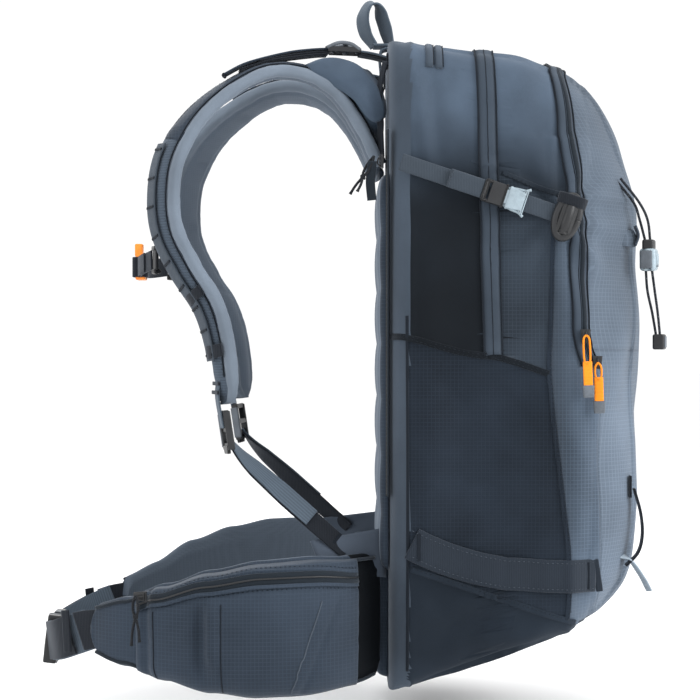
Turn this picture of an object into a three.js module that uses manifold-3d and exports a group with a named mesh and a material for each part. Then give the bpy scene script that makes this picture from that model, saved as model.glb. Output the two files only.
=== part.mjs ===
// Ski backpack of about 30 litres, with its straps and belt fastened as if it were worn.
// Millimetres, +Z up. The wearer faces +Y and the pack's outer front faces -Y. The wearer's left is -X.
// The origin is the middle of the flat back panel, where it meets the wearer's back.
import * as THREE from "three";
import { mergeVertices } from "three/addons/utils/BufferGeometryUtils.js";
import Module from "manifold-3d";

const wasm = await Module();
wasm.setup();

// Bag: heights are from the origin, depths are along -Y.
const BAG_BACK = -10;
const BAG_TOP = 280;
const BAG_BOTTOM = -300;
const CLOTH = 3; // wall of the bag
const HINGE_Z = 0; // the front flap folds down about this height
const GAP = 0.4; // clearance between pieces that touch

// Back panel, a foam pad on the wearer's side of the bag
const PAD_WIDTH = 236;
const PAD_TOP = 158;
const PAD_BOTTOM = -196;
const PAD_THICK = -BAG_BACK - GAP;

// Webbing
const STRAP_WIDTH = 60; // shoulder pad
const STRAP_THICK = 13;
const SIDE_WEB = 15;
const SKI_BAND = 28;
const HIP_WEB = 38;
const ADJUST_WEB = 20;
const WEB_THICK = 2;

// Hip belt
const WING_THICK = 20;
const BUCKLE_Y = 306;
const BUCKLE_Z = -273;

// Zips
const ZIP_WIDTH = 14;
const ZIP_THICK = 1.2;
const PULL_LENGTH = 44;

// Front lashing cord
const LASH_X = -86;
const CORD_RADIUS = 1.3;

const part = new THREE.Group();
part.name = "ski_backpack";

const v = (x, y, z) => new THREE.Vector3(x, y, z);
const mirrored = (points, side) => points.map(([x, y, z]) => v(x * side, y, z));

// ---- materials ---------------------------------------------------------------------------------

const finish = {
  shell: { color: 0x465260, roughness: 0.8 },
  pad: { color: 0x59636f, roughness: 0.85 },
  webbing: { color: 0x2c333b, roughness: 0.8 },
  plastic: { color: 0x16191d, roughness: 0.45 },
  grey: { color: 0x8d9aa8, roughness: 0.4 },
  orange: { color: 0xf07f1e, roughness: 0.6 },
  cord: { color: 0x1b1f24, roughness: 0.9 },
};

function add(name, geometry, look, group = part) {
  const mesh = new THREE.Mesh(geometry, new THREE.MeshStandardMaterial({ ...finish[look], metalness: 0 }));
  mesh.name = name;
  group.add(mesh);
  return mesh;
}

// ---- solids ------------------------------------------------------------------------------------

function toSolid(geometry) {
  const bare = geometry.clone();
  for (const attribute of ["normal", "uv"]) bare.deleteAttribute(attribute);
  const merged = mergeVertices(bare, 1e-4);
  const mesh = new wasm.Mesh({
    numProp: 3,
    vertProperties: new Float32Array(merged.attributes.position.array),
    triVerts: new Uint32Array(merged.index.array),
  });
  return new wasm.Manifold(mesh);
}

function toGeometry(solid) {
  const mesh = solid.getMesh();
  const geometry = new THREE.BufferGeometry();
  geometry.setAttribute("position", new THREE.BufferAttribute(mesh.vertProperties, 3));
  geometry.setIndex(new THREE.BufferAttribute(mesh.triVerts, 1));
  geometry.computeVertexNormals();
  return geometry;
}

// A closed body through rings that hold the same number of points, with a fan at each end.
function loft(rings) {
  const count = rings[0].length;
  const points = rings.flat();
  const faces = [];
  for (let r = 0; r + 1 < rings.length; r++) {
    for (let i = 0; i < count; i++) {
      const a = r * count + i;
      const b = r * count + ((i + 1) % count);
      faces.push([a, b, b + count], [a, b + count, a + count]);
    }
  }
  for (const [start, ring, turn] of [[0, rings[0], 1], [(rings.length - 1) * count, rings.at(-1), 0]]) {
    const middle = ring.reduce((sum, p) => sum.add(p), v(0, 0, 0)).divideScalar(count);
    points.push(middle);
    for (let i = 0; i < count; i++) {
      const pair = [start + i, start + ((i + 1) % count)];
      faces.push(turn ? [points.length - 1, pair[1], pair[0]] : [points.length - 1, pair[0], pair[1]]);
    }
  }
  const volume = faces.reduce((sum, [a, b, c]) => sum + points[a].dot(points[b].clone().cross(points[c])), 0);
  const outward = volume > 0 ? faces : faces.map(([a, b, c]) => [a, c, b]);
  const geometry = new THREE.BufferGeometry().setFromPoints(points);
  geometry.setIndex(outward.flat());
  geometry.computeVertexNormals();
  return geometry;
}

// A flat strip along a route. across lists the direction of its width at each route point, and
// widths and thicks are numbers or functions of the share of the route from 0 to 1.
function strip(route, across, width, thick, steps, corners = 1) {
  const curve = new THREE.CatmullRomCurve3(route, false, "centripetal");
  const at = (size, t) => (typeof size === "function" ? size(t) : size);
  const rings = [];
  for (let s = 0; s <= steps; s++) {
    const t = s / steps;
    const k = t * (across.length - 1);
    const low = Math.min(Math.floor(k), across.length - 2);
    const tangent = curve.getTangent(t);
    const side = across[low].clone().lerp(across[low + 1], k - low);
    side.addScaledVector(tangent, -side.dot(tangent)).normalize();
    const up = tangent.clone().cross(side);
    const [w, h] = [at(width, t) / 2, at(thick, t) / 2];
    rings.push(
      section(w, h, corners).map(([a, b]) =>
        curve.getPoint(t).addScaledVector(side, a).addScaledVector(up, b),
      ),
    );
  }
  return loft(rings);
}

// Half sizes w and h: a rectangle, or a rectangle with rounded short sides.
function section(w, h, corners) {
  if (corners === 1) return [[w, -h], [w, h], [-w, h], [-w, -h]];
  const points = [];
  for (const side of [1, -1]) {
    for (let i = 0; i <= corners; i++) {
      const angle = (-0.5 + i / corners) * Math.PI;
      points.push([side * (w - h + h * Math.cos(angle)), side * h * Math.sin(angle)]);
    }
  }
  return points;
}

function roundedShape(width, height, radius) {
  const [w, h] = [width / 2, height / 2];
  const shape = new THREE.Shape();
  shape.absarc(w - radius, h - radius, radius, 0, Math.PI / 2);
  shape.absarc(-w + radius, h - radius, radius, Math.PI / 2, Math.PI);
  shape.absarc(-w + radius, -h + radius, radius, Math.PI, Math.PI * 1.5);
  shape.absarc(w - radius, -h + radius, radius, Math.PI * 1.5, Math.PI * 2);
  return shape;
}

// A plate in the XY plane, centred on the origin, with rounded corners and slots [x, width, height].
function plate(width, height, thick, radius, slots = []) {
  const shape = roundedShape(width, height, radius);
  const geometry = new THREE.ExtrudeGeometry(shape, { depth: thick, bevelEnabled: false, curveSegments: 3 });
  geometry.translate(0, 0, -thick / 2);
  const cutters = slots.map(([x, w, h]) => toSolid(box(w, h, 2 * thick).translate(x, 0, 0)));
  return toGeometry(cutters.reduce((solid, cutter) => solid.subtract(cutter), toSolid(geometry)));
}

const box = (x, y, z) => new THREE.BoxGeometry(x, y, z);

// Turns a piece made in the XY plane so that its X runs along the given direction and its Z faces out.
function place(mesh, position, along, out) {
  const x = along.clone().normalize();
  const y = out.clone().cross(x).normalize();
  const z = x.clone().cross(y);
  mesh.quaternion.setFromRotationMatrix(new THREE.Matrix4().makeBasis(x, y, z));
  mesh.position.copy(position);
  return mesh;
}

// ---- bag ---------------------------------------------------------------------------------------

// Each level: height at the back, height at the front, depth of the front, half width.
const LEVELS = [
  [BAG_BOTTOM, -258, -186, 118],
  [-293, -247, -203, 129],
  [-276, -226, -222, 137],
  [-245, -197, -235, 143],
  [-180, -150, -242, 147],
  [-100, -90, -245, 150],
  [0, 0, -245, 150],
  [100, 96, -242, 147],
  [160, 146, -238, 143],
  [205, 180, -231, 139],
  [240, 208, -220, 134],
  [262, 230, -207, 128],
  [274, 247, -192, 119],
  [BAG_TOP, 258, -172, 104],
];

// The bag's plan is nearly square at the back and a crowned curve in front.
const RING_POINTS = 44;
const SQUARE = 0.2;
const CROWN_WIDE = 2.2;
const CROWN_DEEP = 2.6;

// Half width of the bag at a depth and a height.
function sideAt(y, z) {
  const levels = LEVELS.map(([zBack, zFront, front, half]) => {
    const share = (BAG_BACK - y) / (BAG_BACK - front);
    return { share, half, height: zBack + (zFront - zBack) * share };
  });
  const above = Math.max(1, levels.findIndex((level) => level.height > z));
  const [low, high] = [levels[above - 1], levels[above]];
  const mix = (z - low.height) / (high.height - low.height);
  const share = THREE.MathUtils.lerp(low.share, high.share, mix);
  const crown = Math.max(0, 2 * share - 1) ** CROWN_DEEP;
  return THREE.MathUtils.lerp(low.half, high.half, mix) * (1 - crown) ** (1 / CROWN_WIDE);
}

function bagSolid(inset) {
  const rings = LEVELS.map(([zBack, zFront, front, half], index) => {
    const ring = [];
    const lift = index === 0 ? inset : index === LEVELS.length - 1 ? -inset : 0;
    const [back, depth] = [BAG_BACK - inset, BAG_BACK - front - 2 * inset];
    for (let i = 0; i < RING_POINTS; i++) {
      const angle = (i / RING_POINTS) * Math.PI * 2;
      const bend = (value, p) => Math.sign(value) * Math.abs(value) ** p;
      const [wide, deep] = Math.sin(angle) < 0 ? [SQUARE, SQUARE] : [2 / CROWN_WIDE, 2 / CROWN_DEEP];
      const x = (half - inset) * bend(Math.cos(angle), wide);
      const share = 0.5 + 0.5 * bend(Math.sin(angle), deep);
      ring.push(v(x, back - depth * share, zBack + (zFront - zBack) * share + lift));
    }
    return ring;
  });
  return toSolid(loft(rings));
}

// The front zip's line on the side of the bag, as depth and height from the bottom up.
const FRONT_LINE = [[-198, -330], [-198, -30], [-188, 20], [-186, 90], [-181, 150], [-176, 200], [-166, 300]];
const MAIN_LINE = [[-94, -330], [-94, 0], [-92, 100], [-90, 200], [-88, 300]];

// Everything in front of a side line moved forward by a distance, wide enough to pass the whole bag.
function inFrontOf(line, forward) {
  const shape = new THREE.Shape();
  shape.moveTo(-300, -330);
  for (const [y, z] of line) shape.lineTo(y - forward, z);
  shape.lineTo(line.at(-1)[0] - forward, 330);
  shape.lineTo(-300, 330);
  shape.closePath();
  const geometry = new THREE.ExtrudeGeometry(shape, { depth: 400, bevelEnabled: false });
  // The shape's X is depth and its Y is height, so the extrusion has to run along X.
  geometry.applyMatrix4(new THREE.Matrix4().makeBasis(v(0, 1, 0), v(0, 0, 1), v(1, 0, 0)));
  return toSolid(geometry.translate(-200, 0, 0));
}

function slab(low, high) {
  return toSolid(box(600, 800, high - low).translate(0, -100, (low + high) / 2));
}

function bag() {
  const wall = bagSolid(0).subtract(bagSolid(CLOTH));
  add("main_compartment", toGeometry(wall.subtract(inFrontOf(FRONT_LINE, 0))), "shell");
  const front = wall.intersect(inFrontOf(FRONT_LINE, GAP));
  add("front_pocket", toGeometry(front.intersect(slab(-400, HINGE_Z - GAP))), "shell");
  add("front_flap", toGeometry(front.intersect(slab(HINGE_Z + GAP, 400))), "shell");
}

// A zip's welt: a band of even width behind a side line, lying on the bag.
function zipBand(name, line, ahead) {
  const skin = bagSolid(-GAP - ZIP_THICK).subtract(bagSolid(-GAP));
  const band = inFrontOf(line, ahead).subtract(inFrontOf(line, ahead + ZIP_WIDTH));
  add(name, toGeometry(skin.intersect(band).intersect(slab(8, 400))), "webbing");
}

// A slider body with a hinged pull that hangs from it, on the side of the bag that faces side * X.
function zipPull(name, side, depth, height, withSlider) {
  const face = sideAt(depth, height) + GAP + ZIP_THICK;
  if (withSlider) {
    const slider = box(5, 9, 12).translate(side * (face + 5), depth, height);
    add(`${name}_slider`, slider, "plastic");
  }
  const pull = box(3, 8, PULL_LENGTH).translate(side * (face + 10.5), depth, height - PULL_LENGTH / 2 + 2);
  add(`${name}_pull`, pull, "orange");
}

// ---- back and haul loop ------------------------------------------------------------------------

function backPanel() {
  const pad = plate(PAD_WIDTH, PAD_TOP - PAD_BOTTOM, PAD_THICK, 30);
  pad.rotateX(Math.PI / 2);
  pad.translate(0, -PAD_THICK / 2, (PAD_TOP + PAD_BOTTOM) / 2);
  const lumbar = plate(190, 110, PAD_THICK + 4, 18);
  lumbar.rotateX(Math.PI / 2);
  lumbar.translate(0, -(PAD_THICK - 4) / 2, -242);
  add("back_panel", toGeometry(toSolid(pad).add(toSolid(lumbar))), "pad");
}

// The back zip runs down beside the back panel, on the wearer's left.
const BACK_ZIP_X = -127;

function backZip() {
  const face = BAG_BACK + 5;
  add("back_zip_slider", box(9, 5, 12).translate(BACK_ZIP_X, face + 2.5, 168), "plastic");
  add("back_zip_pull", box(4, 4, 34).translate(BACK_ZIP_X, face + 8.4, 156), "cord");
}

function haulLoop() {
  const profile = [[2, 288], [10, 301], [13, 316], [7, 329], [-1, 327], [-7, 311], [-14, 288]];
  const route = profile.map(([y, z]) => v(0, y, z));
  const loop = toSolid(strip(route, [v(1, 0, 0), v(1, 0, 0)], 22, WEB_THICK, 24));
  const foot = toSolid(box(24, 18, 4).translate(0, -6, 288));
  add("haul_loop", toGeometry(loop.add(foot)), "webbing");
}

// ---- shoulder straps ---------------------------------------------------------------------------

const STRAP_ROUTE = [
  [-60, -1, 170], [-64, 15, 203], [-70, 38, 234], [-76, 66, 249], [-83, 100, 250], [-91, 136, 232],
  [-97, 166, 206], [-102, 185, 174], [-105, 191, 142], [-107, 188, 108], [-110, 172, 74],
  [-113, 151, 42], [-115, 140, 10], [-116, 135, -22], [-117, 132, -48],
];
const STRAP_ACROSS = [[-1, 0, 0], [-0.95, 0, -0.28], [-0.93, -0.2, -0.25], [-0.93, -0.37, 0], [-0.96, -0.28, 0]];

function strapWidth(t) {
  const taper = STRAP_WIDTH - 14 * THREE.MathUtils.smoothstep(t, 0.55, 0.95);
  return taper * Math.sqrt(1 - THREE.MathUtils.smoothstep(t, 0.94, 1.02) * 0.8);
}

function shoulderStrap(name, side) {
  const route = mirrored(STRAP_ROUTE, -side);
  const strap = strip(route, mirrored(STRAP_ACROSS, -side), strapWidth, STRAP_THICK, 36, 4);
  add(`shoulder_strap_${name}`, strap, "pad");
}

// Webbing from the top of the strap back to the bag, through a ladder lock.
function loadLifter(name, side) {
  const x = side * 82;
  const across = [v(1, 0, 0), v(1, 0, 0)];
  const front = [v(x + side * 6, 118, 259), v(x, 84, 268), v(x - side * 2, 62, 272), v(x - side * 4, 49, 273.5)];
  add(`load_lifter_front_${name}`, strip(front, across, ADJUST_WEB, WEB_THICK, 8), "webbing");
  const lock = plate(30, 27, 5, 3, [[-7, 4, 20], [4, 4, 20]]);
  const mesh = add(`load_lifter_lock_${name}`, lock, "plastic");
  place(mesh, v(x - side * 5, 30, 273), v(0, 1, 0), v(0, 0.1, 1));
  const rear = [v(x - side * 6, 11.5, 272), v(x - side * 7, 2, 270), v(x - side * 8, BAG_BACK + 2.5, 267)];
  add(`load_lifter_rear_${name}`, strip(rear, across, ADJUST_WEB, WEB_THICK, 5), "webbing");
}

// Webbing from the strap's lower end back to the foot of the bag, through a ladder lock.
function adjuster(name, side) {
  const x = side * 117;
  const lock = plate(36, 28, 6, 3, [[-9, 5, 20], [6, 5, 20]]);
  const mesh = add(`adjuster_lock_${name}`, lock, "plastic");
  place(mesh, v(x, 135, -72), v(0, -0.15, -1), v(0, 1, -0.15));
  const across = [v(1, 0, 0), v(1, 0, 0)];
  const route = [v(x, 126, -92), v(x + side, 92, -122), v(x + side, 60, -150), v(x, 27, -177)];
  add(`adjuster_webbing_${name}`, strip(route, across, ADJUST_WEB, WEB_THICK, 8), "webbing");
}

// ---- buckles -----------------------------------------------------------------------------------

// A side-release buckle along X with its mouth at the origin: the socket lies on -X, and the other
// half, whose tongue reaches into the socket, on +X.
function buckle(reach, base, width, thick) {
  const outer = toSolid(box(reach + 5, width, thick).translate(-(reach + 5) / 2, 0, 0));
  const room = toSolid(box(reach, width - 5, thick - 3).translate(-reach / 2 + 0.5, 0, 0));
  const tongue = toSolid(box(reach - 1, width - 7, thick - 4.4).translate(-(reach - 1) / 2 + 1, 0, 0));
  const grip = toSolid(box(base, width - 1, thick).translate(base / 2 + GAP, 0, 0));
  return { female: toGeometry(outer.subtract(room)), male: toGeometry(tongue.add(grip)) };
}

function sternumStrap() {
  const [y, z] = [222, 78];
  const { female, male } = buckle(20, 12, 24, 9);
  place(add("sternum_buckle_female", female, "orange"), v(4, y, z), v(1, 0, 0), v(0, 1, 0));
  place(add("sternum_buckle_male", male, "plastic"), v(4, y, z), v(1, 0, 0), v(0, 1, 0));
  for (const [name, side, near] of [["left", -1, 22], ["right", 1, 17]]) {
    const slider = box(8, 6, 26).translate(side * 84, 201.5, z + 4);
    add(`sternum_slider_${name}`, slider, "plastic");
    const route = [v(side * near, y, z), v(side * 46, 217, z + 1), v(side * 77, 206, z + 4)];
    add(`sternum_web_${name}`, strip(route, [v(0, 0, 1), v(0, 0, 1)], ADJUST_WEB, WEB_THICK, 6), "webbing");
  }
}

// ---- hip belt ----------------------------------------------------------------------------------

// Middle line of a wing and its height there, from the bag round to the front.
const WING_ROUTE = [
  [-99, 6, -238], [-130, 26, -240], [-153, 64, -242], [-163, 110, -244],
  [-160, 154, -246], [-146, 196, -248], [-124, 232, -250], [-106, 252, -250],
];
const WING_HEIGHT = [112, 116, 122, 120, 108, 86, 62, 46];

function hipWing(name, side) {
  const height = (t) => {
    const k = Math.min(t * (WING_HEIGHT.length - 1), WING_HEIGHT.length - 1.001);
    return THREE.MathUtils.lerp(WING_HEIGHT[Math.floor(k)], WING_HEIGHT[Math.floor(k) + 1], k % 1);
  };
  const wing = strip(mirrored(WING_ROUTE, -side), [v(0, 0, 1), v(0, 0, 1)], height, WING_THICK, 20, 4);
  add(`hip_wing_${name}`, wing, "pad");
}

// A point beside the left wing at a route point, pushed out from the wearer, and the wing's direction there.
function besideWing(index, offset, rise = 0) {
  const [[ax, ay], [bx, by]] = [WING_ROUTE[index - 1], WING_ROUTE[index + 1]];
  const along = v(bx - ax, by - ay, 0).normalize();
  const out = v(-along.y, along.x, 0);
  const [x, y, z] = WING_ROUTE[index];
  return { along, out, point: v(x, y, z + rise).addScaledVector(out, offset) };
}

// The zipped pocket lies on the outside of the left wing.
function hipPocket() {
  const route = [1, 2, 3, 4, 5, 6].map((i) => besideWing(i, WING_THICK / 2 + 8 + GAP, -3).point);
  const height = (t) => 108 - 46 * t * t;
  const thick = (t) => 6 + 10 * Math.sin(Math.PI * t);
  add("hip_pocket", strip(route, [v(0, 0, 1), v(0, 0, 1)], height, thick, 14, 3), "shell");
  const { along, out, point } = besideWing(5, WING_THICK / 2 + 18, 34);
  place(add("hip_zip_slider", box(12, 9, 5), "plastic"), point, along, out);
  const pull = besideWing(5, WING_THICK / 2 + 24.5, 14);
  place(add("hip_zip_pull", box(6, 44, 4), "cord"), pull.point, along, out);
}

function hipBuckle() {
  const { female, male } = buckle(30, 16, 46, 14);
  place(add("hip_buckle_female", female, "plastic"), v(2, BUCKLE_Y, BUCKLE_Z), v(-1, 0, 0), v(0, 1, 0));
  place(add("hip_buckle_male", male, "plastic"), v(2, BUCKLE_Y, BUCKLE_Z), v(-1, 0, 0), v(0, 1, 0));
  for (const [name, side, near] of [["left", -1, 21], ["right", 1, 44]]) {
    const route = [v(side * near, BUCKLE_Y, BUCKLE_Z), v(side * 62, 292, -266), v(side * 98, 261, -252)];
    add(`hip_web_${name}`, strip(route, [v(0, 0, 1), v(0, 0, 1)], HIP_WEB, WEB_THICK, 6), "webbing");
  }
}

// ---- bag's side straps -------------------------------------------------------------------------

const SIDE_START = [-22, 165]; // depth and height of the compression strap's rear end
const SIDE_SLOPE = [-0.948, -0.319]; // it runs forward and down

function compressionStrap(name, side) {
  const at = (distance, lift = 7.5) => {
    const [y, z] = SIDE_START.map((start, i) => start + SIDE_SLOPE[i] * distance);
    return v(side * (sideAt(y, z) + lift), y, z);
  };
  const along = at(130).sub(at(80)).normalize();
  const out = along.clone().cross(v(0, -SIDE_SLOPE[1], SIDE_SLOPE[0])).normalize();
  if (out.x * side < 0) out.negate();
  const across = [along.clone().cross(out), along.clone().cross(out)];
  add(`compression_rear_${name}`, strip([at(0, 2), at(24, 4), at(72.5)], across, SIDE_WEB, WEB_THICK, 6), "webbing");
  const { female, male } = buckle(18, 14, 20, 8);
  place(add(`compression_buckle_female_${name}`, female, "plastic"), at(96.5), along, out);
  place(add(`compression_buckle_male_${name}`, male, "grey"), at(96.5), along, out);
  const front = strip([at(111.5), at(124, 5), at(135)], across, SIDE_WEB, WEB_THICK, 4);
  add(`compression_front_${name}`, front, "webbing");
  const roll = plate(26, 46, 11, 12.9);
  place(add(`compression_roll_${name}`, roll, "webbing"), at(151.5, 11.5), v(0, -1, 0), out);
}

// A wide flat band low on each side, open at both edges, that holds a ski.
function skiBand(name, side) {
  const profile = [[-26, -169], [-60, -184], [-100, -195], [-145, -199], [-196, -200]];
  const line = new THREE.SplineCurve(profile.map(([y, z]) => new THREE.Vector2(y, z)));
  const route = line.getPoints(14).map(({ x: y, y: z }) => v(side * (sideAt(y, z) + 4), y, z));
  add(`ski_band_${name}`, strip(route, [v(0, -0.2, 1), v(0, 0, 1)], SKI_BAND, WEB_THICK, 18), "webbing");
}

// ---- front lashing -----------------------------------------------------------------------------

function lashing() {
  const [x, y] = [LASH_X, -231];
  add("lash_tab", box(14, 3, 20).translate(x, y - 2.5, 104), "shell");
  const shape = new THREE.Shape().absarc(0, 0, CORD_RADIUS, 0, Math.PI * 2);
  const cord = (name, points, steps) => {
    const path = new THREE.CatmullRomCurve3(points.map((p) => v(...p)));
    add(name, new THREE.ExtrudeGeometry(shape, { steps, extrudePath: path, bevelEnabled: false, curveSegments: 8 }), "cord");
  };
  cord("lash_cord_upper", [[x, y - 4, 152], [x - 2, y - 7, 134], [x - 2, y - 10, 118], [x, y - 14.5, 100.8]], 10);
  const housing = toSolid(box(18, 16, 20).translate(x, y - 16, 82));
  const well = toSolid(box(11, 11, 6).translate(x, y - 16, 89.5));
  add("cord_lock_body", toGeometry(housing.subtract(well)), "grey");
  add("cord_lock_button", box(10, 10, 10).translate(x, y - 16, 95.4), "plastic");
  cord("lash_cord_lower", [[x, y - 16, 71.6], [x, y - 18, 54], [x, y - 22, 34], [x, y - 25, 14.8]], 10);
  add("cord_end", box(11, 11, 14).translate(x, y - 25.5, 7.4), "plastic");
  const loop = [v(x, y - 4, -128), v(x, y - 10, -160), v(x, y - 9, -185), v(x, y - 26, -200)];
  add("axe_loop", strip(loop, [v(1, 0, 0), v(1, 0, 0)], 12, WEB_THICK, 10), "webbing");
}

// ---- whole pack --------------------------------------------------------------------------------

bag();
zipBand("main_zip", MAIN_LINE, -ZIP_WIDTH / 2);
zipBand("front_zip", FRONT_LINE, -ZIP_WIDTH);
zipPull("front_zip", -1, -183, 12, true);
zipPull("front_zip_lower", -1, -194, -12, false);
zipPull("main_zip", 1, -94, 16, true);
backPanel();
backZip();
haulLoop();
hipPocket();
hipBuckle();
sternumStrap();
lashing();
for (const [name, side] of [["left", -1], ["right", 1]]) {
  shoulderStrap(name, side);
  loadLifter(name, side);
  adjuster(name, side);
  hipWing(name, side);
  compressionStrap(name, side);
  skiBand(name, side);
}

export default part;
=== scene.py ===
# Looks of the ski backpack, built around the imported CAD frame. Metres, +Z up, the wearer faces +Y.
import math

import bmesh
import bpy
from mathutils import Matrix, Vector, noise
from mathutils.bvhtree import BVHTree


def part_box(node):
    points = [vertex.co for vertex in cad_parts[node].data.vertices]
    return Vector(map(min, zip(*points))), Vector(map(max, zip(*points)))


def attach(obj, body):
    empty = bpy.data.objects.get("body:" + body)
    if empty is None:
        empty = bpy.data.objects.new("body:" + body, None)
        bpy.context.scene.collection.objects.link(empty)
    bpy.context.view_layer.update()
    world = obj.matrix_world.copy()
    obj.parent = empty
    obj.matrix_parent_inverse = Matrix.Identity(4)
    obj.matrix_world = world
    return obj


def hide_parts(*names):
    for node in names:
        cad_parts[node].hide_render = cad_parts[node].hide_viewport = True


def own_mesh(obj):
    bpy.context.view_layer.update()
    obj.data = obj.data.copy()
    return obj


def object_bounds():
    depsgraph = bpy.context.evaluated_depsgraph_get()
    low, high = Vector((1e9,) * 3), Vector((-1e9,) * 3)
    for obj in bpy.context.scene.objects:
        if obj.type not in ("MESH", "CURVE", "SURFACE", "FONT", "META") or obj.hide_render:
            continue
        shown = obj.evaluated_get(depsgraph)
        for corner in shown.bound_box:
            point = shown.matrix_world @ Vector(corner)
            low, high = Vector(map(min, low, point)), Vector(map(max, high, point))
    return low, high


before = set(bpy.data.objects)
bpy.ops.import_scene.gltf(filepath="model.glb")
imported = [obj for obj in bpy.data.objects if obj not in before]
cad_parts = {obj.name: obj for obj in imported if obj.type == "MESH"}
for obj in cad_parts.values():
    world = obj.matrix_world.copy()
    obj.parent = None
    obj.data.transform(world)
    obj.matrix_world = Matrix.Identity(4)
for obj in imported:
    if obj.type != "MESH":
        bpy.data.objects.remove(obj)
CAD_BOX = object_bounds()
LEFT, RIGHT = -1, 1
SIDES = (("left", LEFT), ("right", RIGHT))

# ---- camera, light and floor --------------------------------------------------------------------

CAMERA_DISTANCE = 2.0
CAMERA_Y = 0.0247
VIEW_WIDTH = 0.665  # what the view spans at the pack's middle plane
SENSOR = 36.0
SKY = 1.06  # strength of the white world
FLOOR_REACH, FLOOR_DROP = 30.0, 0.03
# Each lamp: name, place, target, size, power.
LAMPS = [
    ("front_key", (-1.0, -2.2, 0.9), (0, -0.1, 0), (1.6, 1.8), 60),
    ("top", (-0.4, 0.1, 2.2), (0, 0, 0), (1.8, 1.8), 22),
    ("harness_side", (-1.4, 2.2, 0.7), (0, 0.1, -0.05), (1.5, 1.5), 16),
    ("fill", (-2.4, 0.0, 0.4), (0, 0, 0), (1.4, 1.4), 4),
    ("far_side", (2.2, 0.6, 1.0), (0, 0, 0), (1.8, 1.8), 18),
]


def camera():
    data = bpy.data.cameras.new("camera")
    data.sensor_width = SENSOR
    data.lens = SENSOR * CAMERA_DISTANCE / VIEW_WIDTH
    view = bpy.data.objects.new("camera", data)
    bpy.context.scene.collection.objects.link(view)
    view.location = (-CAMERA_DISTANCE, CAMERA_Y, 0)
    view.rotation_euler = (math.pi / 2, 0, -math.pi / 2)
    bpy.context.scene.camera = view


def area_light(name, place, target, size, power):
    data = bpy.data.lights.new(name, "AREA")
    data.shape = "RECTANGLE"
    data.size, data.size_y = size
    data.energy = power
    lamp = bpy.data.objects.new(name, data)
    bpy.context.scene.collection.objects.link(lamp)
    lamp.location = place
    lamp.rotation_euler = (Vector(target) - Vector(place)).to_track_quat("-Z", "Y").to_euler()


def ground():
    mesh = bpy.data.meshes.new("floor")
    height = CAD_BOX[0][2] - FLOOR_DROP
    signs = ((-1, -1), (1, -1), (1, 1), (-1, 1))
    corners = [(sx * FLOOR_REACH, sy * FLOOR_REACH, height) for sx, sy in signs]
    mesh.from_pydata(corners, [], [(0, 1, 2, 3)])
    floor = bpy.data.objects.new("floor", mesh)
    bpy.context.scene.collection.objects.link(floor)
    floor.data.materials.append(plain("floor", (0.96, 0.96, 0.96), 0.9))


def studio():
    bpy.context.scene.view_settings.view_transform = "Standard"
    world = bpy.data.worlds.new("world")
    bpy.context.scene.world = world
    world.use_nodes = True
    background = world.node_tree.nodes["Background"]
    background.inputs["Color"].default_value = (1, 1, 1, 1)
    background.inputs["Strength"].default_value = SKY
    for lamp in LAMPS:
        area_light(*lamp)
    ground()


# ---- materials ----------------------------------------------------------------------------------

CLOTH_SPECULAR, PLASTIC_SPECULAR = 0.06, 0.35


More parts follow.
